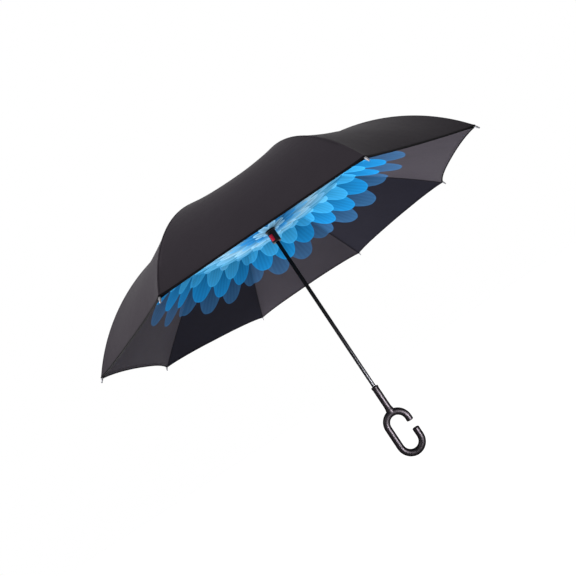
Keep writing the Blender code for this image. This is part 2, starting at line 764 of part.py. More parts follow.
def outer_rib_line():
    """(radius, height) points of the outer cloth over one rib, from the crown's washer to the tip."""
    flat = flat_radius(HUB_RADIUS)
    line = [(CROWN_BORE_RADIUS + GAP, CANOPY_CENTRE_Z), (flat, CANOPY_CENTRE_Z)]
    for step in range(1, INNER_STEPS + 1):
        along = flat + (ELBOW_RADIUS - flat) * step / INNER_STEPS
        height = CROWN_PIVOT_Z - (along - PITCH_RADIUS) * math.tan(STRUT_SLOPE) + OUTER_LIFT
        line.append((along, height))
    return line + rod_line(OUTER_LIFT, OUTER_LIFT_AT_TIP)


def rod_line(lift_at_elbow, lift_at_tip):
    line = []
    for step in range(OUTER_STEPS + 1):
        share = step / OUTER_STEPS
        x, z = rod_place(ROD_BEND * share, lift_at_elbow + (lift_at_tip - lift_at_elbow) * share)
        radius = ELBOW_RADIUS + x * math.cos(STRUT_SLOPE) + z * math.sin(STRUT_SLOPE)
        height = ELBOW_Z - x * math.sin(STRUT_SLOPE) + z * math.cos(STRUT_SLOPE)
        line.append((radius, height))
    return line


def lining_rib_line():
    """(radius, height) points of the lining under one rib.

    It is held near the elbow and drawn taut to the tip.
    """
    flat = flat_radius(FLANGE_RADIUS)
    hold_z = ELBOW_Z - LINING_DROP_AT_ELBOW
    tip_radius, tip_z = rod_line(-LINING_DROP_AT_TIP, -LINING_DROP_AT_TIP)[-1]
    line = [(HUB_BORE_RADIUS + GAP, LINING_CENTRE_Z), (flat, LINING_CENTRE_Z)]
    for (start, start_z), (end, end_z), steps in (
        ((flat, LINING_CENTRE_Z), (LINING_HOLD_RADIUS, hold_z), INNER_STEPS),
        ((LINING_HOLD_RADIUS, hold_z), (tip_radius, tip_z), OUTER_STEPS),
    ):
        for step in range(1, steps + 1):
            share = step / steps
            line.append((start + (end - start) * share, start_z + (end_z - start_z) * share))
    return line


def canopy_mesh(name, line, sag):
    """Panels stretched between neighbouring ribs, sagging a little, with a hem that bows inwards."""
    lengths = [0.0]
    for (r0, z0), (r1, z1) in zip(line, line[1:]):
        lengths.append(lengths[-1] + math.hypot(r1 - r0, z1 - z0))
    bm = bmesh.new()
    rows = []
    for (radius, height), length in zip(line, lengths):
        share = max(0.0, (length - lengths[1]) / (lengths[-1] - lengths[1]))
        row = []
        for rib in range(RIB_COUNT):
            for step in range(PANEL_STEPS):
                row.append(bm.verts.new(panel_point(rib, step / PANEL_STEPS, radius, height, share, sag)))
        rows.append(row)
    count = len(rows[0])
    for row, following in zip(rows, rows[1:]):
        for i in range(count):
            j = (i + 1) % count
            bm.faces.new((row[i], following[i], following[j], row[j]))
    return mesh_of(bm, name)


def panel_point(rib, across, radius, height, along, sag):
    start, end = rib_azimuth(rib), rib_azimuth(rib + 1)
    middle = (start + end) / 2
    bow = 1 - (2 * across - 1) ** 2
    hem = bow * along**3
    chord_x = radius * ((1 - across) * math.cos(start) + across * math.cos(end))
    chord_y = radius * ((1 - across) * math.sin(start) + across * math.sin(end))
    z = height + HEM_UPWARD * hem - sag * bow * math.sin(math.pi * along)
    return (
        chord_x - HEM_INWARD * hem * math.cos(middle),
        chord_y - HEM_INWARD * hem * math.sin(middle),
        z,
    )


def add_cloth(name, mesh, material):
    cloth = link(name, mesh, material)
    shell = cloth.modifiers.new("thickness", "SOLIDIFY")
    shell.thickness = CLOTH_THICKNESS
    shell.offset = 0
    return cloth


def raise_mesh(mesh, height, flipped=False):
    if flipped:
        mesh.transform(Matrix.Rotation(math.pi, 4, "X"))
    mesh.transform(Matrix.Translation((0, 0, height)))
    return mesh


def build_root(finishes):
    """What stays with the shaft: handle, shaft, crown and outer canopy."""
    link("c_handle", handle_mesh(), finishes["handle"])
    link("shaft_tube", shaft_mesh(), finishes["shaft"])
    link("stop_collar", stop_mesh(), finishes["plastic"])
    crown_hub = raise_mesh(hub_mesh("crown_hub", CROWN_BORE_RADIUS), CROWN_PIVOT_Z, flipped=True)
    link("crown_hub", crown_hub, finishes["plastic"])
    link("crown_wire", raise_mesh(wire_mesh("crown_wire"), CROWN_PIVOT_Z), finishes["steel"])
    washer = washer_mesh("crown_washer", CROWN_BORE_RADIUS, WASHER_THICKNESS)
    raise_mesh(washer, CROWN_WASHER_BOTTOM_Z)
    link("crown_washer", washer, finishes["plastic"])
    link("crown_cap", cap_mesh(), finishes["plastic"])
    add_cloth("outer_canopy", canopy_mesh("outer_canopy", outer_rib_line(), PANEL_SAG), finishes["cloth"])


def build_runner(finishes):
    """What slides on the shaft: runner, lower hub, lining and release button."""
    link("runner_sleeve", runner_mesh(), finishes["plastic"])
    hub = raise_mesh(hub_mesh("runner_hub", HUB_BORE_RADIUS), HUB_PIVOT_Z)
    link("runner_hub", hub, finishes["plastic"])
    link("runner_wire", raise_mesh(wire_mesh("runner_wire"), HUB_PIVOT_Z), finishes["steel"])
    washer = washer_mesh("lining_washer", HUB_BORE_RADIUS, LINING_WASHER_THICKNESS)
    raise_mesh(washer, WASHER_BOTTOM_Z)
    link("lining_washer", washer, finishes["plastic"])
    add_cloth("lining", canopy_mesh("lining", lining_rib_line(), LINING_SAG), finishes["lining"])
    seat = hinge_frame("button_seat", 0, BUTTON_Z, BUTTON_AZIMUTH)
    button, spring = button_meshes()
    link("release_button", button, finishes["button"], seat)
    link("button_spring", spring, finishes["steel"], seat)


def build_ribs(finishes):
    arm, stretcher, knuckle, tip = arm_mesh(), stretcher_mesh(), knuckle_mesh(), tip_mesh()
    rod = bar_curve("rib_rod", rod_route(), ROD_RADIUS, ROD_SIDES_RESOLUTION)
    hem_x, hem_z = rod_place(ROD_BEND)
    for rib in range(RIB_COUNT):
        number = rib + 1
        azimuth = rib_azimuth(rib)
        hub_hinge = hinge_frame(f"hub_hinge_{number}", PITCH_RADIUS, HUB_PIVOT_Z, azimuth)
        crown_hinge = hinge_frame(f"crown_hinge_{number}", PITCH_RADIUS, CROWN_PIVOT_Z, azimuth)
        elbow_hinge = hinge_frame(f"elbow_hinge_{number}", ELBOW_RADIUS, ELBOW_Z, azimuth)
        rising = link(f"rib_arm_{number}", arm, finishes["rib_steel"], hub_hinge)
        rising.rotation_euler = (0, -STRUT_SLOPE, 0)
        falling = [
            link(f"stretcher_{number}", stretcher, finishes["rib_steel"], crown_hinge),
            link(f"rib_knuckle_{number}", knuckle, finishes["plastic"], elbow_hinge),
            link(f"rib_rod_{number}", rod, finishes["fibreglass"], elbow_hinge),
        ]
        for piece in falling:
            piece.rotation_euler = (0, STRUT_SLOPE, 0)
        cap = link(f"rib_tip_{number}", tip, finishes["tip"], falling[-1])
        cap.location = (hem_x, 0, hem_z)
        cap.rotation_euler = (0, math.pi / 2 + ROD_BEND, 0)


def report_sizes():
    """Prints what the joints need: the pivots and the tip, in a rib's plane."""
    hem_x, hem_z = rod_place(ROD_BEND)
    hem_radius = ELBOW_RADIUS + hem_x * math.cos(STRUT_SLOPE) + hem_z * math.sin(STRUT_SLOPE)
    hem_height = ELBOW_Z - hem_x * math.sin(STRUT_SLOPE) + hem_z * math.cos(STRUT_SLOPE)
    print("pitch radius", PITCH_RADIUS, "hub pivot", HUB_PIVOT_Z, "crown pivot", round(CROWN_PIVOT_Z, 5))
    print("elbow", round(ELBOW_RADIUS, 5), round(ELBOW_Z, 5))
    print("hem", round(hem_radius, 5), round(hem_height, 5))
    print("button", round(BUTTON_Z, 5), "cap top", round(CAP_TOP_Z, 5))
    print("cloth at the crown", round(CANOPY_CENTRE_Z, 5), "lining at the runner", round(LINING_CENTRE_Z, 5))


def main():
    clear_scene()
    finishes = {
        "handle": finish("satin black handle", (0.022, 0.021, 0.024), 0.42),
        "shaft": finish("black painted shaft", (0.012, 0.012, 0.013), 0.28),
        "plastic": finish("black moulded plastic", (0.015, 0.015, 0.017), 0.45),
        "steel": finish("bright steel wire", (0.62, 0.62, 0.63), 0.3, 1.0),
        "rib_steel": finish("black painted rib steel", (0.03, 0.03, 0.032), 0.4, 0.3),
        "fibreglass": finish("black fibreglass", (0.02, 0.02, 0.022), 0.35),
        "tip": finish("bright rib tip", (0.55, 0.55, 0.57), 0.3, 1.0),
        "button": finish("red button", (0.62, 0.03, 0.05), 0.35),
        "cloth": finish("black canopy cloth", (0.045, 0.042, 0.05), 0.75),
        "lining": finish("black and blue lining cloth", (0.03, 0.16, 0.42), 0.75),
    }
    build_root(finishes)
    build_runner(finishes)
    build_ribs(finishes)
    report_sizes()


main()
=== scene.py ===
# %% [markdown]
# # An inverted umbrella
#
# The umbrella stands open, as it is held in the rain: an outer canopy over a folding frame, a printed
# lining under it, a runner with a red button on a black shaft, and a C-shaped handle that leaves the hand
# free. The frame's moving parts come from a model that is already made, so this script gives them their
# looks: sewn cloth, a print, moulded plastic and painted steel.

# %% Load the frame
import json
import math
from collections import namedtuple

import bmesh
import bpy
from mathutils import Matrix, Vector

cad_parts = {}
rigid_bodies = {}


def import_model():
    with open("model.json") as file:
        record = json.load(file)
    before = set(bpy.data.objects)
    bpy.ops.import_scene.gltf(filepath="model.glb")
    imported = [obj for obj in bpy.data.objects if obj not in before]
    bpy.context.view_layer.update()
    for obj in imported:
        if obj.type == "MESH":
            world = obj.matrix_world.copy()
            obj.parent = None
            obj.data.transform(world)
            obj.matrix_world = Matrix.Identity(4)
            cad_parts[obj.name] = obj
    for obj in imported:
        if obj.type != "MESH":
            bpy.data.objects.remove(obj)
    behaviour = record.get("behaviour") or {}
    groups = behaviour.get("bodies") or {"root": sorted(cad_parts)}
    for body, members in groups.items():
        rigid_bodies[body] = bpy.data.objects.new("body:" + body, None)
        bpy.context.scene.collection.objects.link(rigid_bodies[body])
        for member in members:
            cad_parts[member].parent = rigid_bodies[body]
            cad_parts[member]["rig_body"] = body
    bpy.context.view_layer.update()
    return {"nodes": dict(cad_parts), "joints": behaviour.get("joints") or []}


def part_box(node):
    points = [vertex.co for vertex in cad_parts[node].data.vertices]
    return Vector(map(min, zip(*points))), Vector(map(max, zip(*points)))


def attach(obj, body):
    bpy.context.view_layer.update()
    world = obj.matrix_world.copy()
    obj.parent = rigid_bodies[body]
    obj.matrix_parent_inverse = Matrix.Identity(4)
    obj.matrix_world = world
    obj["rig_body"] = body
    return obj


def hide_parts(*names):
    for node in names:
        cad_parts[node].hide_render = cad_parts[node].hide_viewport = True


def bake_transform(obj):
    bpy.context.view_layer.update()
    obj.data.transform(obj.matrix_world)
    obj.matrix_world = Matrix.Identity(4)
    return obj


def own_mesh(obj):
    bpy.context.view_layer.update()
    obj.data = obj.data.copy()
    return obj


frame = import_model()

# %% [markdown]
# ## Where the frame's pins are
#
# Everything that the cloth is tied to turns about three pins in each rib's plane: one on the runner, one
# at the elbow and one at the crown. Their places are read from the joints, so the cloth follows the frame
# if it changes.

# %% Read the pins
joints = {joint["name"]: joint for joint in frame["joints"]}


def pin_place(joint_name):
    """Radius and height of a hinge's pin, in its rib's plane."""
    x, y, z = joints[joint_name]["pos_m"]
    return math.hypot(x, y), z


HUB_RADIUS, HUB_Z = pin_place("arm_hinge_1")
ELBOW_RADIUS, ELBOW_Z = pin_place("elbow_hinge_1")
CROWN_RADIUS, CROWN_Z = pin_place("crown_hinge_1")
RIBS = sum(name.startswith("arm_hinge") for name in joints)
RIB_ANGLE = math.tau / RIBS
FIRST_AZIMUTH = math.atan2(*reversed(joints["arm_hinge_1"]["pos_m"][:2]))
print("elbow at radius", round(ELBOW_RADIUS, 4), "height", round(ELBOW_Z, 4), "with", RIBS, "ribs")


def azimuth_of(rib):
    return FIRST_AZIMUTH + RIB_ANGLE * rib


# %% [markdown]
# ## Formulas made of nodes
#
# A weave, a print or the curve of a panel is a formula. Drawn as nodes by hand it takes dozens of boxes, so
# a small class wraps a node's output and gives it the usual operators: each sum or product adds its Math
# node. The same class serves materials and Geometry Nodes, because both kinds of tree have that node.

# %% A socket that can stand in a formula
class Value:
    """The output of a node, with operators that add the nodes of a formula."""

    def __init__(self, tree, socket):
        self.tree = tree
        self.socket = socket

    def math(self, operation, *others):
        return add(self.tree, "ShaderNodeMath", {"operation": operation}, dict(enumerate((self, *others))))

    def __add__(self, other):
        return self.math("ADD", other)

    def __radd__(self, other):
        return self.math("ADD", other)

    def __sub__(self, other):
        return self.math("SUBTRACT", other)

    def __rsub__(self, other):
        return add(self.tree, "ShaderNodeMath", {"operation": "SUBTRACT"}, {0: other, 1: self})

    def __mul__(self, other):
        return self.math("MULTIPLY", other)

    def __rmul__(self, other):
        return self.math("MULTIPLY", other)

    def __truediv__(self, other):
        return self.math("DIVIDE", other)

    def __pow__(self, other):
        return self.math("POWER", other)

    def clamped(self, low=0.0, high=1.0):
        return self.math("MAXIMUM", low).math("MINIMUM", high)

    def above(self, limit):
        return self.math("GREATER_THAN", limit)

    def scaled(self, factor):
        """A colour or vector times a number."""
        return add(self.tree, "ShaderNodeVectorMath", {"operation": "SCALE"}, {0: self, "Scale": factor})

    def mixed(self, other, share):
        """This colour, changing to the other one as share goes from 0 to 1."""
        return add(self.tree, "ShaderNodeMix", {"data_type": "RGBA"}, {0: share, 6: self, 7: other}, 2)

    def parts(self):
        """The three numbers of a vector."""
        first = add(self.tree, "ShaderNodeSeparateXYZ", {}, {0: self})
        return [Value(self.tree, socket) for socket in first.socket.node.outputs]


def add(tree, kind, settings, values, output=0):
    """One node of any kind: its settings first, then a value or a link for each socket."""
    node = tree.nodes.new(kind)
    for name, setting in settings.items():
        setattr(node, name, setting)
    for key, value in values.items():
        if isinstance(value, Value):
            tree.links.new(value.socket, node.inputs[key])
        else:
            node.inputs[key].default_value = value
    return Value(tree, node.outputs[output])


def vector(tree, x, y, z):
    return add(tree, "ShaderNodeCombineXYZ", {}, {0: x, 1: y, 2: z})


def plain(tree, colour):
    """One colour, the same all over."""
    made = add(tree, "ShaderNodeRGB", {}, {})
    made.socket.default_value = colour
    return made


def linear(red, green, blue):
    """A colour given as 0 to 255 on a screen, as the light it stands for."""
    shares = [level / 255 for level in (red, green, blue)]
    return tuple(s / 12.92 if s <= 0.04045 else ((s + 0.055) / 1.055) ** 2.4 for s in shares) + (1.0,)


# %% [markdown]
# ## Finishes
#
# Black things are never plain black. The ribs and the small mouldings have a fine spark-eroded grain. The
# handle and the shaft are a dark satin whose reflections fade to black towards the edges, which gives them
# dark rims and one soft streak of light. Each finish is a colour, a roughness that wanders a little, and a
# small relief.

# %% A finish from its colour, roughness and relief
TONE_LOWEST = 0.9
TONE_SPREAD = 0.2
GLOSS_PATCHES = 60.0
GLOSS_SPREAD = 0.08


def finish(name, **fixed):
    """A new material, its tree and its shader; fixed sets shader sockets that stay the same all over."""
    material = bpy.data.materials.new(name)
    material.use_nodes = True
    tree = material.node_tree
    shader = tree.nodes["Principled BSDF"]
    for socket, value in fixed.items():
        shader.inputs[socket.replace("_", " ")].default_value = value
    return material, tree, shader


def feed(tree, shader, **values):
    """Links values to the shader's sockets."""
    for socket, value in values.items():
        tree.links.new(value.socket, shader.inputs[socket.replace("_", " ")])


def relief(tree, height, depth):
    """Turns a height from 0 to 1 into a normal, with the depth in metres that 1 stands for."""
    return add(tree, "ShaderNodeBump", {}, {"Height": height, "Distance": depth, "Strength": 1.0})


def noise(tree, place, scale, detail=2.0):
    return add(tree, "ShaderNodeTexNoise", {}, {"Vector": place, "Scale": scale, "Detail": detail})


def varied(colour, slow):
    """A colour whose tone changes slowly over the surface."""
    return colour.scaled(TONE_LOWEST + TONE_SPREAD * slow)


def hard_finish(name, colour, roughness, metallic=0.0, grain=900.0, grain_depth=0.000003, **fixed):
    """Plastic, paint or metal: a grain, slow changes of gloss and a slight change of tone."""
    material, tree, shader = finish(name, Metallic=metallic, **fixed)
    place = add(tree, "ShaderNodeTexCoord", {}, {}, "Object")
    fine = noise(tree, place, grain)
    slow = noise(tree, place, GLOSS_PATCHES, 3.0)
    feed(
        tree,
        shader,
        Base_Color=varied(plain(tree, colour), slow),
        Roughness=roughness - GLOSS_SPREAD / 2 + GLOSS_SPREAD * slow,
        Normal=relief(tree, fine, grain_depth),
    )
    return material


SATIN = 0.2
DARK_EDGE = (0.0, 0.0, 0.0, 1.0)
FAINT_GRAIN = 0.000001
handle_plastic = hard_finish(
    "satin black handle", linear(23, 21, 23), 0.42, metallic=1.0, grain=1400.0, grain_depth=FAINT_GRAIN,
    Specular_Tint=DARK_EDGE,
)
moulded_black = hard_finish(
    "black moulded plastic", linear(20, 19, 21), 0.32, grain=1100.0, Specular_IOR_Level=SATIN
)
shaft_paint = hard_finish(
    "black shaft paint", linear(32, 32, 34), 0.36, metallic=1.0, grain=500.0, grain_depth=FAINT_GRAIN,
    Specular_Tint=DARK_EDGE,
)
rib_paint = hard_finish("black rib paint", linear(36, 36, 39), 0.38, grain=700.0, Specular_IOR_Level=SATIN)
rod_gloss = hard_finish("black fibreglass", linear(26, 26, 29), 0.3, grain=400.0, Specular_IOR_Level=SATIN)
bright_steel = hard_finish("bright steel", linear(190, 190, 193), 0.28, metallic=1.0, grain=1500.0)
tip_chrome = hard_finish("bright rib tip", linear(122, 122, 126), 0.44, metallic=1.0, grain=1500.0)
button_red = hard_finish("red button", linear(212, 30, 50), 0.34, grain=1300.0, Specular_IOR_Level=SATIN)
print("hard finishes made:", len(bpy.data.materials))

# %% [markdown]
# ## The cloth's weave
#
# The cloth is a fine taffeta: warp and weft threads about a third of a millimetre apart. Each point of a
# panel carries two attributes, so that the finish goes with the cloth when it folds: *thread* counts metres
# across and along its panel, and *place* is where the point is while the umbrella stands open.

# %% Weave and cloth finishes
THREAD_PITCH = 0.00035
THREAD_DEPTH = 0.00003
PUCKER_SCALE = 45.0
PUCKER_DEPTH = 0.0006
FADING_SCALE = 9.0
CLOTH_GLOSS = 0.012
CLOTH_GLOSS_SPREAD = 0.1


def attribute(tree, name):
    return add(tree, "ShaderNodeAttribute", {"attribute_name": name}, {}, "Vector")


def woven_normal(tree):
    """The relief of the threads on that of the cloth's small puckers."""
    across, along, _ = attribute(tree, "thread").parts()
    warp = (across * (math.tau / THREAD_PITCH)).math("SINE")
    weft = (along * (math.tau / THREAD_PITCH)).math("SINE")
    pucker = noise(tree, attribute(tree, "place"), PUCKER_SCALE, 3.0)
    weave = relief(tree, warp * weft * 0.5 + 0.5, THREAD_DEPTH)
    return add(tree, "ShaderNodeBump", {}, {"Height": pucker, "Distance": PUCKER_DEPTH, "Normal": weave})


def cloth_finish(name, colour_of, roughness):
    """A woven finish; colour_of(tree) gives the colour of its dye or print."""
    material, tree, shader = finish(name, Specular_IOR_Level=CLOTH_GLOSS)
    slow = noise(tree, attribute(tree, "place"), FADING_SCALE, 4.0)
    feed(
        tree,
        shader,
        Base_Color=varied(colour_of(tree), slow),
        Roughness=roughness - CLOTH_GLOSS_SPREAD / 2 + CLOTH_GLOSS_SPREAD * slow,
        Normal=woven_normal(tree),
    )
    return material


def dyed(colour):
    return lambda tree: plain(tree, colour)


outer_cloth = cloth_finish("charcoal taffeta", dyed(linear(50, 46, 51)), 0.5)
# painted shadow: the binding is darker than the cloth, for the shade in the gap between the layers at the hem
hem_shadow_binding = cloth_finish("black binding", dyed(linear(20, 19, 21)), 0.6)
thread_black = cloth_finish("sewing thread", dyed(linear(46, 44, 48)), 0.6)

# %% [markdown]
# ## The print
#
# The lining is black, with a rosette of blue paper fans printed round the shaft. Each ring is a row of fans
# whose round edge lies over the ring outside it, so the rings are painted from the outermost inwards. A fan
# is a formula in the angle round the shaft and the distance from it: its round edge, its pleats, its pale
# rim and the shade in its throat. The tints go from a faded navy outside to a pale blue half way in, and
# back through a deeper blue to a pale eye at the shaft.

# %% A rosette of folded fans
HEM_RADIUS = 0.5286
FAN_ROUNDNESS = 2.6
FAN_EDGE_BLUR = 0.004
FAN_RIM = 0.012
FAN_LIGHT = 1.06
RIM_LIGHT = 0.2
PLEATS = 7
PLEAT_SHADE = 0.14
THROAT_DEPTH = 1.6
THROAT_SHADE = 0.55
# tip radius and depth as shares of the hem's radius, fans in the ring, colour
FAN_RINGS = (
    (0.725, 0.115, 24, linear(50, 100, 146)),
    (0.650, 0.110, 24, linear(26, 130, 194)),
    (0.570, 0.105, 24, linear(52, 154, 210)),
    (0.490, 0.100, 24, linear(88, 172, 217)),
    (0.405, 0.090, 16, linear(112, 180, 220)),
    (0.325, 0.085, 16, linear(144, 194, 224)),
    (0.245, 0.070, 12, linear(92, 164, 212)),
    (0.165, 0.055, 12, linear(36, 128, 194)),
    (0.095, 0.040, 8, linear(128, 184, 220)),
)
OUTER_RING_COVER = 0.75
# painted sheen: one black lining cloth, lighter on every other gore and darker on the rest
SHEEN_LIT_GORE = linear(63, 59, 65)
SHEEN_DULL_GORE = linear(33, 32, 40)
# painted shade in the seams: how much darker the lining gets at a seam, and how far from it
SEAM_PAINTED_SHADE = 0.7
SEAM_SHADOW_REACH = 0.0035


def fan_ring(radius, turn, below, ring):
    """One ring of fans painted over the colour below."""
    tip, depth, fans, colour = FAN_RINGS[ring]
    across = (turn * fans + 0.5 * (ring % 2)).math("FRACT") * 2 - 1
    inside = tip - depth * across.math("ABSOLUTE") ** FAN_ROUNDNESS - radius
    pleat = (across * PLEATS).math("PINGPONG", 1.0)
    rim = 1 - (inside / FAN_RIM).clamped()
    throat = (inside / (depth * THROAT_DEPTH)).clamped()
    light = FAN_LIGHT - THROAT_SHADE * throat - PLEAT_SHADE * pleat + RIM_LIGHT * rim
    cover = 1.0 if ring else OUTER_RING_COVER
    return below.mixed(plain(below.tree, colour).scaled(light), (inside / FAN_EDGE_BLUR).clamped() * cover)


def rosette(tree):
    """The lining: gores lit and dulled in turn by painted sheen, painted shade at seams, and printed fans."""
    x, y, _ = attribute(tree, "place").parts()
    radius = (x * x + y * y).math("SQRT") / HEM_RADIUS
    turn = y.math("ARCTAN2", x) / math.tau
    # painted sheen: every other gore lighter, the rest darker
    from_middle = (turn * RIBS).math("PINGPONG", 1.0)
    colour = plain(tree, SHEEN_LIT_GORE).mixed(plain(tree, SHEEN_DULL_GORE), from_middle.above(0.5))
    # painted shade in the seams: the colour darkens towards each seam line
    to_seam = (from_middle - 0.5).math("ABSOLUTE") * radius * (RIB_ANGLE * HEM_RADIUS)
    colour = colour.scaled(1 - SEAM_PAINTED_SHADE * (1 - (to_seam / SEAM_SHADOW_REACH).clamped()))
    for ring in range(len(FAN_RINGS)):
        colour = fan_ring(radius, turn, colour, ring)
    return colour


lining_cloth = cloth_finish("printed lining", rosette, 0.5)
print("the rosette has", sum(fans for _, _, fans, _ in FAN_RINGS), "fans")

# %% [markdown]
# ## Two sheets of cloth, one formula
#
# Each layer of cloth runs from the shaft to the hem in three stretches: flat under its washer, straight to
# the elbow, and bent down to the hem. Between two ribs it is stretched straight across, sags a little, and
# its hem bows in towards the shaft. The whole surface is one formula in two numbers, the length along the
# rib and the share across to the middle of the panel, so the panels, hems, seams and stitches come from it.

# %% The two layers
CLOTH_THICKNESS = 0.0003
KNUCKLE_LENGTH = 0.016
ROD_ARC_LENGTH = 0.327
ROD_BEND = math.radians(42.8)
STRUT_SLOPE = math.atan2(CROWN_Z - ELBOW_Z, ELBOW_RADIUS - CROWN_RADIUS)
ROD_CURVE_RADIUS = ROD_ARC_LENGTH / ROD_BEND
OUTER_FLAT_RADIUS = 0.0224
OUTER_LIFT = 0.0047
OUTER_LIFT_AT_TIP = 0.0019
OUTER_SAG = 0.0086
LINING_FLAT_RADIUS = 0.0172
LINING_DROP_AT_TIP = 0.0019
LINING_HOLD_RADIUS = 0.266
LINING_HOLD_DROP = 0.042
LINING_CROWN = 0.006
LINING_SAG = 0.0050
WASHER_GAP = 0.0003
FRAME_CLOTH_HALF = 0.00025
HEM_GAP = 0.0004


def height_under(washer):
    """The height of the middle of a cloth under the washer that clamps it."""
    low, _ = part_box(washer)
    return low.z - WASHER_GAP - FRAME_CLOTH_HALF


def rod_point(angle, above):
    """Radius and height of a point beside the bent rod, offset to its upper side."""
    x = KNUCKLE_LENGTH + (ROD_CURVE_RADIUS + above) * math.sin(angle)
    z = -ROD_CURVE_RADIUS * (1 - math.cos(angle)) + above * math.cos(angle)
    radius = ELBOW_RADIUS + x * math.cos(STRUT_SLOPE) + z * math.sin(STRUT_SLOPE)
    return radius, ELBOW_Z - x * math.sin(STRUT_SLOPE) + z * math.cos(STRUT_SLOPE)


def layer(flat_radius, flat_z, knee, second_slope, bend_radius, bend, lift, lift_at_hem, gather, sag):
    """The values of one layer's formula: knee is where its straight stretch ends."""
    knee_radius, knee_z = knee
    first_length = math.hypot(knee_radius - flat_radius, knee_z - flat_z)
    return {
        "Flat radius": flat_radius,
        "Flat height": flat_z,
        "First slope": math.atan2(flat_z - knee_z, knee_radius - flat_radius),
        "First length": first_length,
        "Second slope": second_slope,
        "Bend radius": bend_radius,
        "Lift": lift,
        "Lift at hem": lift_at_hem,
        "Gather": gather,
        "Sag": sag,
        "Total length": flat_radius + first_length + bend_radius * bend,
    }


OUTER = layer(
    OUTER_FLAT_RADIUS, height_under("crown_washer") - OUTER_LIFT, rod_point(0, 0), STRUT_SLOPE,
    ROD_CURVE_RADIUS, ROD_BEND, OUTER_LIFT, OUTER_LIFT_AT_TIP, HEM_GAP / 2 - OUTER_LIFT_AT_TIP, OUTER_SAG,
)
hold = (LINING_HOLD_RADIUS, ELBOW_Z - LINING_HOLD_DROP)
lining_hem = rod_point(ROD_BEND, -LINING_DROP_AT_TIP)
lining_chord = math.hypot(lining_hem[0] - hold[0], lining_hem[1] - hold[1])
LINING_BEND = 8 * LINING_CROWN / lining_chord
lining_slope = math.atan2(hold[1] - lining_hem[1], lining_hem[0] - hold[0]) - LINING_BEND / 2
LINING = layer(
    LINING_FLAT_RADIUS, height_under("lining_washer"), hold, lining_slope,
    lining_chord / (2 * math.sin(LINING_BEND / 2)), LINING_BEND, 0.0, 0.0, LINING_DROP_AT_TIP - HEM_GAP / 2,
    LINING_SAG,
)
print("cloth along a rib:", [round(values["Total length"], 4) for values in (OUTER, LINING)])

# %% [markdown]
# ## Growing the cloth with Geometry Nodes
#
# A grid is bent by the formula. The tree's inputs are the layer's sizes and the piece's own limits, so one
# tree makes gores, hem bands and the narrow welts over the seams. It also stores the two attributes that
# the finishes read. A piece is centred on its rib, because the rib is what carries it when the umbrella
# closes.

# %% The surface as nodes
HEM_INWARD = 0.0152
HEM_UPWARD = 0.0043
HEM_FLATNESS = 2.7
HEM_ONSET = 3.0
BEYOND_HEM = 1.02
GATHER_FLATNESS = 14.0
GATHER_ONSET = 8.0
SLACK_HEIGHT = 0.0012
SLACK_SCALE = 14.0
LAYER_INPUTS = tuple(OUTER)
PIECE_INPUTS = ("Azimuth", "From", "To", "Across from", "Across to", "Half width", "Offset")


def new_tree(name, float_inputs, int_inputs=()):
    tree = bpy.data.node_groups.new(name, "GeometryNodeTree")
    for title in float_inputs:
        tree.interface.new_socket(title, in_out="INPUT", socket_type="NodeSocketFloat")
    for title in int_inputs:
        tree.interface.new_socket(title, in_out="INPUT", socket_type="NodeSocketInt")
    tree.interface.new_socket("Finish", in_out="INPUT", socket_type="NodeSocketMaterial")
    tree.interface.new_socket("Geometry", in_out="OUTPUT", socket_type="NodeSocketGeometry")
    return tree


def given(tree, title):
    """One of the tree's own inputs."""
    return add(tree, "NodeGroupInput", {}, {}, title)


def rib_line(tree, length):
    """The layer's line over a rib, at a length along it.

    Gives its radius and height, the angle by which its normal leans out, and how far along the stretched
    cloth and along the bent part it is, both from 0 to 1.
    """
    flat, first_length, total = (given(tree, t) for t in ("Flat radius", "First length", "Total length"))
    first_slope, second_slope = (given(tree, t) for t in ("First slope", "Second slope"))
    bend_radius = given(tree, "Bend radius")
    beyond_flat = (length - flat).math("MAXIMUM", 0.0)
    first = beyond_flat.math("MINIMUM", first_length)
    bend = (beyond_flat - first_length).math("MAXIMUM", 0.0) / bend_radius
    slope = second_slope + bend
    radius = length.math("MINIMUM", flat) + first * first_slope.math("COSINE")
    radius = radius + bend_radius * (slope.math("SINE") - second_slope.math("SINE"))
    height = given(tree, "Flat height") - first * first_slope.math("SINE")
    height = height - bend_radius * (second_slope.math("COSINE") - slope.math("COSINE"))
    leaning = beyond_flat.above(0.0) * (first_slope + bend.above(0.0) * (slope - first_slope))
    along = (beyond_flat / (total - flat)).clamped(0.0, BEYOND_HEM)
    return radius, height, leaning, along, bend * bend_radius / (total - flat - first_length)


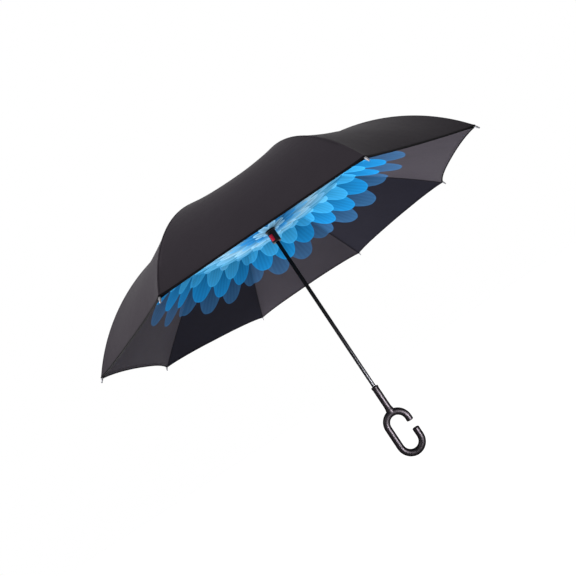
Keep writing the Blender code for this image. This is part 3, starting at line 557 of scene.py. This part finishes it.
def cloth_surface(tree, across, length):
    """The place on the open umbrella of a point of the cloth, and its thread counts.

    across goes from -1 to 1, from mid-panel to mid-panel, or is a share of the half width where one is given.
    """
    radius, height, leaning, along, outer_share = rib_line(tree, length)
    half_width = given(tree, "Half width")
    narrow = half_width.above(0.0)
    full = 2 / math.sin(RIB_ANGLE)
    across = across * (1 - narrow) + across * narrow * half_width * full / radius
    side = across.math("SIGN")
    reach = across.math("ABSOLUTE")
    bow = 2 * reach - reach * reach
    from_middle = (1 - reach).math("MAXIMUM", 0.0)
    hem = (1 - from_middle**HEM_FLATNESS) * along**HEM_ONSET
    tightness = (1 - from_middle**GATHER_FLATNESS) * outer_share**GATHER_ONSET
    lift = given(tree, "Lift")
    offset = lift + (given(tree, "Lift at hem") - lift) * outer_share + given(tree, "Gather") * tightness
    offset = offset + given(tree, "Offset")
    radius = radius + offset * leaning.math("SINE")
    height = height + offset * leaning.math("COSINE")
    half_panel = RIB_ANGLE / 2
    x = radius * (1 - reach / 2 * (1 - math.cos(RIB_ANGLE))) - HEM_INWARD * math.cos(half_panel) * hem
    y = side * (radius * reach / 2 * math.sin(RIB_ANGLE) - HEM_INWARD * math.sin(half_panel) * hem)
    z = height + HEM_UPWARD * hem - given(tree, "Sag") * bow * (along.clamped() * math.pi).math("SINE")
    turned = add(
        tree,
        "ShaderNodeVectorRotate",
        {"rotation_type": "Z_AXIS"},
        {"Vector": vector(tree, x, y, z), "Angle": given(tree, "Azimuth")},
    )
    slack = noise(tree, turned, SLACK_SCALE, 1.0) - 0.5
    settled = add(
        tree,
        "ShaderNodeVectorMath",
        {"operation": "ADD"},
        {0: turned, 1: vector(tree, 0.0, 0.0, slack * bow * (1 - narrow) * SLACK_HEIGHT)},
    )
    thread = vector(tree, side * x * math.sin(half_panel) - y * math.cos(half_panel), length, 0.0)
    return settled, thread


def piece_place(tree, share_across, share_along):
    """The surface between the piece's own limits."""
    start, end = given(tree, "Across from"), given(tree, "Across to")
    near, far = given(tree, "From"), given(tree, "To")
    return cloth_surface(tree, start + (end - start) * share_across, near + (far - near) * share_along)


def cloth_tree():
    tree = new_tree("cloth", LAYER_INPUTS + PIECE_INPUTS, ("Rows across", "Rows along"))
    rows = {"Vertices X": given(tree, "Rows across"), "Vertices Y": given(tree, "Rows along")}
    grid = add(tree, "GeometryNodeMeshGrid", {}, {"Size X": 1.0, "Size Y": 1.0, **rows})
    x, y, _ = add(tree, "GeometryNodeInputPosition", {}, {}).parts()
    place, thread = piece_place(tree, x + 0.5, y + 0.5)
    threaded = stored(tree, grid, "thread", thread)
    placed = stored(tree, threaded, "place", place)
    moved = add(tree, "GeometryNodeSetPosition", {}, {"Geometry": placed, "Position": place})
    return ended(tree, moved)


def stored(tree, geometry, name, value):
    """The geometry with a vector kept on each of its points."""
    return add(
        tree,
        "GeometryNodeStoreNamedAttribute",
        {"data_type": "FLOAT_VECTOR", "domain": "POINT"},
        {"Geometry": geometry, "Name": name, "Value": value},
    )


def ended(tree, geometry):
    """Every tree ends the same way: real geometry with its finish."""
    real = add(tree, "GeometryNodeRealizeInstances", {}, {"Geometry": geometry})
    material = given(tree, "Finish")
    finished = add(tree, "GeometryNodeSetMaterial", {}, {"Geometry": real, "Material": material})
    smooth = add(tree, "GeometryNodeSetShadeSmooth", {}, {"Geometry": finished, "Shade Smooth": True})
    output = tree.nodes.new("NodeGroupOutput")
    tree.links.new(smooth.socket, output.inputs[0])
    return tree


CLOTH = cloth_tree()
print("the cloth's tree has", len(CLOTH.nodes), "nodes")

# %% [markdown]
# ## Stitches
#
# A lockstitch shows as a row of short thread lengths, each a little sunk at its ends. The same formula gives
# the line that the needle follows; points are set out along it, and a small bead of thread is turned to the
# line at each. Only the row's limits differ between a hem and a seam.

# %% Rows of stitches as nodes
STITCH_PITCH = 0.0034
STITCH_LENGTH = 0.0026
STITCH_RADIUS = 0.00022
LINE_POINTS = 64


def stitch_tree():
    tree = new_tree("stitches", LAYER_INPUTS + PIECE_INPUTS)
    line = add(tree, "GeometryNodeMeshLine", {}, {"Count": LINE_POINTS})
    share = add(tree, "GeometryNodeInputIndex", {}, {}) / (LINE_POINTS - 1)
    place, _ = piece_place(tree, share, share)
    route = add(tree, "GeometryNodeSetPosition", {}, {"Geometry": line, "Position": place})
    curve = add(tree, "GeometryNodeMeshToCurve", {}, {"Mesh": route})
    spacing = {"Curve": curve, "Length": STITCH_PITCH}
    points = add(tree, "GeometryNodeCurveToPoints", {"mode": "LENGTH"}, spacing)
    turn = Value(tree, points.socket.node.outputs["Rotation"])
    bead = add(tree, "GeometryNodeMeshUVSphere", {}, {"Segments": 6, "Rings": 4, "Radius": 1.0})
    size = (STITCH_RADIUS, STITCH_RADIUS, STITCH_LENGTH / 2)
    stitches = add(
        tree,
        "GeometryNodeInstanceOnPoints",
        {},
        {"Points": points, "Instance": bead, "Rotation": turn, "Scale": size},
    )
    return ended(tree, stitches)


STITCHES = stitch_tree()
print("the stitches' tree has", len(STITCHES.nodes), "nodes")

# %% [markdown]
# ## From trees to plain meshes
#
# A tree's result is taken as a plain mesh, and the helper that held it is removed. Cloth gets its thickness
# from Solidify on the way, and its edges are marked sharp so that light doesn't bleed round them.

# %% Take a tree's result
CLOTH_EDGE = math.radians(50)


def grown(tree, values, thickness=0.0):
    """The plain mesh that a tree gives for these values of its inputs."""
    helper = bpy.data.objects.new("helper", bpy.data.meshes.new("helper"))
    bpy.context.scene.collection.objects.link(helper)
    modifier = helper.modifiers.new("nodes", "NODES")
    modifier.node_group = tree
    for item in tree.interface.items_tree:
        if item.in_out == "INPUT" and item.name in values:
            modifier[item.identifier] = values[item.name]
    if thickness:
        shell = helper.modifiers.new("thickness", "SOLIDIFY")
        shell.thickness = thickness
        shell.offset = 0.0
    bpy.context.view_layer.update()
    graph = bpy.context.evaluated_depsgraph_get()
    mesh = bpy.data.meshes.new_from_object(
        helper.evaluated_get(graph), preserve_all_data_layers=True, depsgraph=graph
    )
    bpy.data.objects.remove(helper, do_unlink=True)
    mesh.set_sharp_from_angle(angle=CLOTH_EDGE)
    return mesh


def piece(name, mesh):
    made = bpy.data.objects.new(name, mesh)
    bpy.context.scene.collection.objects.link(made)
    return made


def joined(name, meshes):
    """One object of several meshes, each with its own finish."""
    parts = [piece(name, mesh) for mesh in meshes]
    with bpy.context.temp_override(active_object=parts[0], selected_editable_objects=parts):
        bpy.ops.object.join()
    parts[0].name = name
    return parts[0]


# %% [markdown]
# ## Zones that ride on the frame
#
# When the umbrella closes, the cloth near the crown goes with the stretchers, the cloth beyond the elbows
# goes with the rods, and the lining's inner part goes with the arms. So each layer is cut into zones that
# meet along smooth lines. A folded umbrella has no room for a panel's full width, but here each gore keeps
# its open shape on its body. The small pieces round the crown, the runner and the elbows stay where they are
# made.

# %% Cut the zones
CENTRE_END = 0.034
CROWN_HOLE = 0.0056
LINING_CENTRE_END = 0.030
LINING_HOLE = 0.0107
FOLD_REACH = 0.034
FOLD_HALF_WIDTH = 0.031
FOLD_BEHIND = 0.0009
GORE_ROWS = 41
CENTRE_ROWS = 21
FOLD_ROWS = 13
WELT_ROWS = 5
ROW_LENGTH = 0.007
SIZE_STEPS = 40


def arc_length(values, radius):
    """The length along a layer's rib line where its straight stretch reaches a radius."""
    return values["Flat radius"] + (radius - values["Flat radius"]) / math.cos(values["First slope"])


OUTER_ELBOW = arc_length(OUTER, ELBOW_RADIUS)
LINING_HOLD = arc_length(LINING, LINING_HOLD_RADIUS)


def rows_for(start, end):
    return max(4, round((end - start) / ROW_LENGTH) + 1)


def piece_inputs(rib, start, end, half_width, offset, material, edge=None):
    """A piece's own inputs; without an edge it goes right across from mid-panel to mid-panel."""
    across = (-1.0, 1.0) if edge is None else (edge, edge)
    numbers = (azimuth_of(rib), start, end, *across, half_width, offset)
    return {**dict(zip(PIECE_INPUTS, numbers)), "Finish": material}


def cut(
    values, rib, start, end, material, thickness=CLOTH_THICKNESS, half_width=0.0, offset=0.0, rows=GORE_ROWS
):
    """The mesh of one zone of a layer, centred on a rib."""
    inputs = piece_inputs(rib, start, end, half_width, offset, material)
    grid = {"Rows across": rows, "Rows along": rows_for(start, end)}
    return grown(CLOTH, {**values, **inputs, **grid}, thickness)


def stitched(values, rib, start, end, half_width, offset, edge=None):
    """The mesh of one row of stitches, along an edge or right across."""
    inputs = piece_inputs(rib, start, end, half_width, offset, thread_black, edge)
    return grown(STITCHES, {**values, **inputs})


def rib_radius(values, length):
    """The radius of a layer's rib line at a length along it."""
    flat = values["Flat radius"]
    first = min(max(length - flat, 0.0), values["First length"])
    bend = max(length - flat - values["First length"], 0.0) / values["Bend radius"]
    slope = values["Second slope"]
    bent = values["Bend radius"] * (math.sin(slope + bend) - math.sin(slope))
    return min(length, flat) + first * math.cos(values["First slope"]) + bent


def cut_size(values, start, end, half_width=0.0):
    """Width and length of a zone before it is sewn, and its area."""

    def width(length):
        return 2 * half_width or 2 * math.sin(RIB_ANGLE / 2) * rib_radius(values, length)

    middles = [start + (end - start) * (step + 0.5) / SIZE_STEPS for step in range(SIZE_STEPS)]
    return (width(end), end - start), sum(map(width, middles)) / SIZE_STEPS * (end - start)


# %% [markdown]
# ## Hems, welts and their stitches
#
# The edge of each panel is turned over and sewn with one row of stitches, and a binding goes round the
# fold; the binding is darker than the cloth, a painted shadow of the gap between the two layers at the hem.
# The seam over each rib stands up as a narrow welt with a row of stitches on either side. These trims are
# what tells a sewn canopy from a moulded one.

# %% Sew the trims
HEM_BAND = 0.0075
HEM_EDGE = 0.0028
HEM_BINDING = 0.0013
HEM_STITCH_IN = 0.0058
WELT_HALF_WIDTH = 0.0021
WELT_THICKNESS = 0.0006
STITCH_BESIDE = 0.0031
Layer = namedtuple("Layer", "values prefix side cloth slot solid")
# side is 1 where the trims lie above the cloth and -1 where they lie below it
CANOPY = Layer(OUTER, "outer", 1, outer_cloth, "canopy_cloth", "outer_canopy")
UNDERSIDE = Layer(LINING, "lining", -1, lining_cloth, "lining_cloth", "lining")


def seam_trim(layer, rib, start, end):
    """The welt over a seam and a row of stitches on both sides."""
    height = layer.side * WELT_THICKNESS / 2
    welt = cut(
        layer.values, rib, start, end, layer.cloth, WELT_THICKNESS, WELT_HALF_WIDTH, height, rows=WELT_ROWS
    )
    stitch_height = layer.side * CLOTH_THICKNESS / 2
    rows = [
        stitched(layer.values, rib, start, end, STITCH_BESIDE, stitch_height, edge) for edge in (-1.0, 1.0)
    ]
    return [welt, *rows]


def hem_trim(layer, rib):
    """The turned edge, the binding round its fold, darkened as painted hem shadow, and the row of stitches.
    """
    values, side = layer.values, layer.side
    total = values["Total length"]
    doubled = 2 * CLOTH_THICKNESS
    on_cloth = side * 1.5 * CLOTH_THICKNESS
    on_band = side * 2.5 * CLOTH_THICKNESS
    stitch_line = total - HEM_STITCH_IN
    return [
        cut(values, rib, total - HEM_BAND, total - HEM_EDGE, layer.cloth, doubled, offset=on_cloth),
        # the binding's dark colour is painted shadow of the gap between the two layers
        cut(
            values, rib, total - HEM_EDGE, total + HEM_GAP, hem_shadow_binding, HEM_BINDING,
            offset=side * HEM_BINDING / 2,
        ),
        stitched(values, rib, stitch_line, stitch_line, 0.0, on_band),
    ]


# %% [markdown]
# ## What carries each zone
#
# A gore between two lengths rides on one body with its trim. A small zone stays where it is made. Both
# kinds work out how large they are before they are sewn, and hide the solid they stand for.

# %% Two kinds of zone
def declare(layer, start, end, half_width=0.0):
    """Works out a zone's flat size and area, and hides the solid that its layer stands for."""
    flat, area = cut_size(layer.values, start, end, half_width)
    area = min(area, flat[0] * flat[1])
    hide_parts(layer.solid)


def flattening(made, body, rib):
    """Rides on a body."""
    azimuth = azimuth_of(rib)
    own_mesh(made)
    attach(made, body)


def gore(layer, rib, start, end, body, hemmed=False):
    """A zone that rides on a body, with its seam, and with its hem if it reaches the edge."""
    trim_name, zone_name = ("hem", "panel") if hemmed else ("seam", "inner")
    meshes = seam_trim(layer, rib, start, end) + (hem_trim(layer, rib) if hemmed else [])
    trim = joined(f"{layer.prefix}_{trim_name}_{rib + 1}", meshes)
    flattening(trim, body, rib)
    zone = piece(f"{layer.prefix}_{zone_name}_{rib + 1}", cut(layer.values, rib, start, end, layer.cloth))
    flattening(zone, body, rib)
    declare(layer, start, end)


def bending(layer, name, rib, start, end, way, half_width=0.0, offset=0.0, rows=CENTRE_ROWS):
    """A small zone that stays where it is made; way is two radii and a height."""
    mesh = cut(layer.values, rib, start, end, layer.cloth, half_width=half_width, offset=offset, rows=rows)
    zone = piece(f"{layer.prefix}_{name}_{rib + 1}", mesh)
    out = Vector((math.cos(azimuth_of(rib)), math.sin(azimuth_of(rib)), 0.0))
    near, far, height = way
    rise = Vector((0, 0, height))
    out * near + rise
    out * far + rise
    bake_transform(zone)
    declare(layer, start, end, half_width)


# %% Make both layers, rib by rib
outer_total, lining_total = OUTER["Total length"], LINING["Total length"]
crown_way = (CROWN_RADIUS, CENTRE_END, CROWN_Z)
runner_way = (HUB_RADIUS, LINING_CENTRE_END, HUB_Z)
fold_way = (LINING_HOLD_RADIUS - FOLD_REACH / 2, LINING_HOLD_RADIUS + FOLD_REACH / 2, hold[1])
for rib in range(RIBS):
    number = rib + 1
    crown_body, arm_body, rod_body = f"stretcher_{number}", f"arm_{number}", f"rib_{number}"
    bending(CANOPY, "centre", rib, CROWN_HOLE, CENTRE_END, crown_way)
    gore(CANOPY, rib, CENTRE_END, OUTER_ELBOW, crown_body)
    gore(CANOPY, rib, OUTER_ELBOW, outer_total, rod_body, hemmed=True)
    bending(
        UNDERSIDE, "centre", rib, LINING_HOLE, LINING_CENTRE_END, runner_way,
    )
    gore(UNDERSIDE, rib, LINING_CENTRE_END, LINING_HOLD, arm_body)
    bending(
        UNDERSIDE, "fold", rib, LINING_HOLD - FOLD_REACH, LINING_HOLD + FOLD_REACH,
        fold_way, FOLD_HALF_WIDTH, FOLD_BEHIND, FOLD_ROWS,
    )
    gore(UNDERSIDE, rib, LINING_HOLD, lining_total, rod_body, hemmed=True)

sewn = [o for o in bpy.data.objects if o.name.startswith(("outer_", "lining_")) and o.name[-1].isdigit()]
print("cloth pieces:", len(sewn))

# %% [markdown]
# ## Rigid parts
#
# The frame's own solids have the right shape but hard edges and flat facets. Moulded and pressed parts have
# small radii that catch the light, so each solid is copied, its facets merged, its edges rounded, and the
# copy stands for it.

# %% Round the edges of the frame's solids
ROUND_FROM = math.radians(28)
FLAT_ANGLE = math.radians(0.5)
FINE_EDGE = math.radians(40)
TURNED_EDGE = math.radians(38)
FACET_MERGE = 0.00001
POINT_MERGE = 0.000001


def standing_for(node, name, mesh, material, edge_angle=TURNED_EDGE):
    """A finished mesh that rides where a solid of the frame does and stands for it."""
    mesh.shade_smooth()
    mesh.set_sharp_from_angle(angle=edge_angle)
    mesh.materials.clear()
    mesh.materials.append(material)
    made = piece(name, mesh)
    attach(made, frame["nodes"][node]["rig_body"])
    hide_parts(node)


def rounded_copy(node, material, width):
    """A solid of the frame with merged facets and rounded edges, standing for it."""
    bm = bmesh.new()
    bm.from_mesh(frame["nodes"][node].data)
    bmesh.ops.remove_doubles(bm, verts=bm.verts, dist=FACET_MERGE)
    bmesh.ops.dissolve_limit(bm, angle_limit=FLAT_ANGLE, verts=bm.verts, edges=bm.edges)
    folded = [edge for edge in bm.edges if len(edge.link_faces) == 2]
    sharp = [edge for edge in folded if edge.calc_face_angle(0.0) > ROUND_FROM]
    bmesh.ops.bevel(
        bm, geom=sharp, offset=width, segments=2, profile=0.5, affect="EDGES", clamp_overlap=True
    )
    mesh = bpy.data.meshes.new(node)
    bm.to_mesh(mesh)
    bm.free()
    standing_for(node, f"fine_{node}", mesh, material, FINE_EDGE)


# the solid, its finish, its material slot and how far its edges are rounded
ROUNDED = [
    ("stop_collar", moulded_black, "moulded_black", 0.0003),
    ("crown_hub", moulded_black, "moulded_black", 0.0003),
    ("crown_washer", moulded_black, "moulded_black", 0.0003),
    ("crown_cap", moulded_black, "moulded_black", 0.0005),
    ("crown_wire", bright_steel, "bright_steel", 0.0),
    ("runner_sleeve", moulded_black, "moulded_black", 0.0003),
    ("runner_hub", moulded_black, "moulded_black", 0.0003),
    ("runner_wire", bright_steel, "bright_steel", 0.0),
    ("lining_washer", moulded_black, "moulded_black", 0.0003),
    ("release_button", button_red, "red_button", 0.0003),
    ("button_spring", bright_steel, "bright_steel", 0.0),
]
for rib in range(1, RIBS + 1):
    ROUNDED += [
        (f"rib_arm_{rib}", rib_paint, "rib_steel", 0.0001),
        (f"stretcher_{rib}", rib_paint, "rib_steel", 0.0001),
        (f"rib_knuckle_{rib}", moulded_black, "moulded_black", 0.0002),
        (f"rib_rod_{rib}", rod_gloss, "fibreglass", 0.0),
        (f"rib_tip_{rib}", tip_chrome, "rib_tip", 0.0002),
    ]
for node, material, slot, width in ROUNDED:
    rounded_copy(node, material, width)
print("rounded solids:", len(ROUNDED))

# %% [markdown]
# ## The button's spring
#
# The coil behind the button is shorter when the button is in. It shortens along the button's way, towards
# the end that stands against the runner. Here it only gets a mesh of its own.

# %% Give the spring its own mesh
spring = bpy.data.objects["fine_button_spring"]
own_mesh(spring)

# %% [markdown]
# ## The handle
#
# The handle is one moulding: a round bar bent into a tall C, and a sleeve for the shaft with a slightly
# wider lip. The bar is swept round its path with softly rounded ends, the sleeve is turned, and a Boolean
# joins them, which leaves the crease that the real moulding has where the sleeve meets the loop.

# %% Sweep the bar and turn the sleeve
BAR_RADIUS = 0.00875
LOOP_HEIGHT = 0.124
LOOP_WIDTH = 0.074
GAP_TOP_Z = 0.0155
GAP_BOTTOM_Z = -0.0050
BAR_END_ROUND = 0.0022
SLEEVE_RADIUS = 0.0086
SLEEVE_LIP_RADIUS = 0.0094
SLEEVE_TOP_Z = 0.128
SLEEVE_LIP_HEIGHT = 0.005
LIP_ROUND = 0.0009
SHAFT_RADIUS = 0.005
BORE_CLEARANCE = 0.0003
BORE_DEPTH = 0.004
# the flare at the sleeve's foot: radius, and height over the top of the loop
SLEEVE_FLARE = ((0.0108, -0.003), (0.0100, 0.001), (0.0091, 0.005), (SLEEVE_RADIUS, 0.011))
SWEEP_SIDES = 48
BEND_STEPS = 40
END_STEPS = 6
TURN_STEPS = 64


def handle_path():
    """Points of the bar's middle line, with the direction and the bar's radius at each."""
    reach = LOOP_WIDTH / 2 - BAR_RADIUS
    straight = (LOOP_HEIGHT - LOOP_WIDTH) / 2
    path = []
    for step in range(END_STEPS + 1):
        angle = math.pi / 2 * step / END_STEPS
        height = GAP_TOP_Z + BAR_END_ROUND * (1 - math.cos(angle))
        path.append((reach, height, math.pi / 2, BAR_RADIUS - BAR_END_ROUND * (1 - math.sin(angle))))
    for centre_z, start in ((straight, 0.0), (-straight, math.pi)):
        for step in range(BEND_STEPS + 1):
            angle = start + math.pi * step / BEND_STEPS
            x, z = reach * math.cos(angle), centre_z + reach * math.sin(angle)
            path.append((x, z, angle + math.pi / 2, BAR_RADIUS))
    for step in range(END_STEPS, -1, -1):
        angle = math.pi / 2 * step / END_STEPS
        height = GAP_BOTTOM_Z - BAR_END_ROUND * (1 - math.cos(angle))
        path.append((reach, height, math.pi * 2.5, BAR_RADIUS - BAR_END_ROUND * (1 - math.sin(angle))))
    return path


def swept_bar(path):
    """A closed bar round the path's points, each given as x, z, heading and radius."""
    bm = bmesh.new()
    rows = []
    for x, z, heading, radius in path:
        side = Vector((math.sin(heading), 0.0, -math.cos(heading)))
        row = []
        for step in range(SWEEP_SIDES):
            angle = math.tau * step / SWEEP_SIDES
            offset = side * (radius * math.cos(angle)) + Vector((0.0, radius * math.sin(angle), 0.0))
            row.append(bm.verts.new(Vector((x, 0.0, z)) + offset))
        rows.append(row)
    for row, following in zip(rows, rows[1:]):
        for i in range(SWEEP_SIDES):
            j = (i + 1) % SWEEP_SIDES
            bm.faces.new((row[i], row[j], following[j], following[i]))
    bm.faces.new(reversed(rows[0]))
    bm.faces.new(rows[-1])
    return outward(bm, "bar")


def outward(bm, name):
    """The mesh of a closed shape whose faces all look outwards."""
    bmesh.ops.remove_doubles(bm, verts=bm.verts, dist=POINT_MERGE)
    bmesh.ops.recalc_face_normals(bm, faces=bm.faces)
    mesh = bpy.data.meshes.new(name)
    bm.to_mesh(mesh)
    bm.free()
    return mesh


def lathed(name, profile):
    """A turned piece from (radius, height) points that start and end on the axis."""
    bm = bmesh.new()
    points = [bm.verts.new((radius, 0.0, height)) for radius, height in profile]
    edges = [bm.edges.new(pair) for pair in zip(points, points[1:])]
    bmesh.ops.spin(
        bm, geom=points + edges, cent=(0, 0, 0), axis=(0, 0, 1), angle=math.tau, steps=TURN_STEPS,
        use_merge=True,
    )
    return outward(bm, name)


def united(name, first, second):
    """The mesh of two closed shapes joined by a Boolean."""
    base, tool = piece(name, first), piece("tool", second)
    modifier = base.modifiers.new("join", "BOOLEAN")
    modifier.operation = "UNION"
    modifier.solver = "EXACT"
    modifier.object = tool
    bpy.context.view_layer.update()
    graph = bpy.context.evaluated_depsgraph_get()
    mesh = bpy.data.meshes.new_from_object(base.evaluated_get(graph))
    for helper in (base, tool):
        bpy.data.objects.remove(helper, do_unlink=True)
    return mesh


def sleeve_profile():
    """Radius and height of the sleeve's outline: its flare, its lip and the mouth of the bore."""
    loop_top = LOOP_HEIGHT / 2
    lip_bottom = SLEEVE_TOP_Z - SLEEVE_LIP_HEIGHT
    bore_bottom = SLEEVE_TOP_Z - BORE_DEPTH
    foot = [(0.0, loop_top - BAR_RADIUS), (BAR_RADIUS, loop_top - BAR_RADIUS)]
    flare = [(radius, loop_top + height) for radius, height in SLEEVE_FLARE]
    lip = [
        (SLEEVE_RADIUS, lip_bottom - 0.0012),
        (SLEEVE_RADIUS + 0.0003, lip_bottom - 0.0004),
        (SLEEVE_LIP_RADIUS - 0.0002, lip_bottom),
        (SLEEVE_LIP_RADIUS, lip_bottom + 0.0005),
        (SLEEVE_LIP_RADIUS, SLEEVE_TOP_Z - LIP_ROUND),
        (SLEEVE_LIP_RADIUS - LIP_ROUND / 3, SLEEVE_TOP_Z - LIP_ROUND / 3),
        (SLEEVE_LIP_RADIUS - LIP_ROUND, SLEEVE_TOP_Z),
    ]
    bore = [
        (SHAFT_RADIUS + 0.0010, SLEEVE_TOP_Z),
        (SHAFT_RADIUS + 0.0004, SLEEVE_TOP_Z - 0.0006),
        (SHAFT_RADIUS + BORE_CLEARANCE, bore_bottom),
        (0.0, bore_bottom),
    ]
    return foot + flare + lip + bore


handle_shape = united("handle", swept_bar(handle_path()), lathed("sleeve", sleeve_profile()))
standing_for("c_handle", "moulded_handle", handle_shape, handle_plastic)
print("the handle has", len(handle_shape.polygons), "faces")

# %% [markdown]
# ## The shaft
#
# A steel tube, painted black: a plain turned piece, but a long one, so its sides are many and its highlight
# runs straight from the handle to the runner.

# %% Turn the shaft
shaft_end, shaft_top = (corner.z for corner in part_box("shaft_tube"))
shaft_profile = [(0.0, shaft_end), (SHAFT_RADIUS, shaft_end), (SHAFT_RADIUS, shaft_top), (0.0, shaft_top)]
standing_for("shaft_tube", "painted_shaft", lathed("shaft", shaft_profile), shaft_paint)
print("the shaft is", round(shaft_top - shaft_end, 3), "m long")

# %% [markdown]
# ## Camera
#
# The camera was solved from the eight rib tips, the shaft and the handle: it stands 1.3 m away, below the
# canopy, and is tipped to one side, so that the umbrella leans across the picture.

# %% Set the camera
CAMERA_PLACE = Vector((0.0280038, -1.3104683, 0.2602314))
CAMERA_RIGHT = Vector((0.82901538, 0.12446197, -0.54519971))
CAMERA_DOWN = Vector((-0.55663255, 0.08987156, -0.82588334))
FOCAL_PIXELS = 519.535
PICTURE_PIXELS = 576
SENSOR = 36.0

camera_data = bpy.data.cameras.new("camera")
camera_data.sensor_width = SENSOR
camera_data.lens = SENSOR * FOCAL_PIXELS / PICTURE_PIXELS
camera_data.clip_end = 60.0
camera = bpy.data.objects.new("camera", camera_data)
bpy.context.scene.collection.objects.link(camera)
camera_up = -CAMERA_DOWN
camera_back = CAMERA_RIGHT.cross(camera_up)
axes = Matrix((CAMERA_RIGHT, camera_up, camera_back)).transposed().to_4x4()
camera.matrix_world = Matrix.Translation(CAMERA_PLACE) @ axes
bpy.context.scene.camera = camera
print("lens", round(camera_data.lens, 2), "mm")

# %% [markdown]
# ## Light and background
#
# The photo is a cut-out on white. The world shows white to the camera and to reflections, and lights the
# object with a softer level. One large lamp from the upper left gives the cloth its slow gradients, and a
# second from the left, low and behind, lights the lining. A small narrow one in front, which the camera
# can't see, lays the streak on the handle. The floor lies as far below as if the umbrella were held in the
# hand.

# %% Lamps, world and floor
AMBIENT = 0.45
WHITE = (1.0, 1.0, 1.0, 1.0)
CANOPY_MIDDLE = (0.0, 0.0, 0.45)
HANDLE_MIDDLE = (0.0, 0.0, 0.06)
# place, what it points at, width and height, power in watts, beam in degrees
LAMPS = {
    "key": ((-2.4, -1.8, 1.9), CANOPY_MIDDLE, (1.4, 1.4), 92.0, 180),
    "lining light": ((-2.3, 0.9, -0.7), CANOPY_MIDDLE, (1.6, 1.2), 147.0, 180),
    "handle light": ((0.33, -0.62, -0.05), HANDLE_MIDDLE, (0.24, 0.2), 2.6, 30),
}
FLOOR_Z = -1.0
FLOOR_REACH = 14.0
FLOOR_GREY = (0.86, 0.86, 0.86, 1.0)
FLOOR_GLOW = 0.6


def seen_directly(tree):
    """1 for rays that come from the camera, off a glossy surface or through glass, and 0 for other light."""
    path = add(tree, "ShaderNodeLightPath", {}, {}, "Is Camera Ray")
    outputs = path.socket.node.outputs
    glossy = Value(tree, outputs["Is Glossy Ray"])
    through = Value(tree, outputs["Is Transmission Ray"])
    return path.math("MAXIMUM", glossy).math("MAXIMUM", through)


world = bpy.data.worlds.new("white surroundings")
bpy.context.scene.world = world
world.use_nodes = True
background = world.node_tree.nodes["Background"]
background.inputs["Color"].default_value = WHITE
strength = AMBIENT + (1 - AMBIENT) * seen_directly(world.node_tree)
world.node_tree.links.new(strength.socket, background.inputs["Strength"])


def lamp(name, place, target, size, power, beam):
    data = bpy.data.lights.new(name, "AREA")
    data.shape = "RECTANGLE"
    data.size, data.size_y = size
    data.energy = power
    data.spread = math.radians(beam)
    made = bpy.data.objects.new(name, data)
    bpy.context.scene.collection.objects.link(made)
    made.location = place
    made.rotation_euler = (Vector(target) - Vector(place)).to_track_quat("-Z", "Y").to_euler()
    return made


lamps = {name: lamp(name, *values) for name, values in LAMPS.items()}
lamps["handle light"].visible_camera = False

floor_material, floor_tree, floor_shader = finish(
    "white floor", Roughness=0.9, Base_Color=FLOOR_GREY, Emission_Strength=1.0
)
glow = seen_directly(floor_tree) * FLOOR_GLOW
feed(floor_tree, floor_shader, Emission_Color=vector(floor_tree, glow, glow, glow))
floor_mesh = bpy.data.meshes.new("floor")
corners = [(x * FLOOR_REACH, y * FLOOR_REACH, FLOOR_Z) for x, y in ((-1, -1), (1, -1), (1, 1), (-1, 1))]
floor_mesh.from_pydata(corners, [], [(0, 1, 2, 3)])
floor_mesh.materials.append(floor_material)
piece("floor", floor_mesh)
bpy.context.scene.view_settings.view_transform = "Standard"
print("lamps:", ", ".join(lamps))
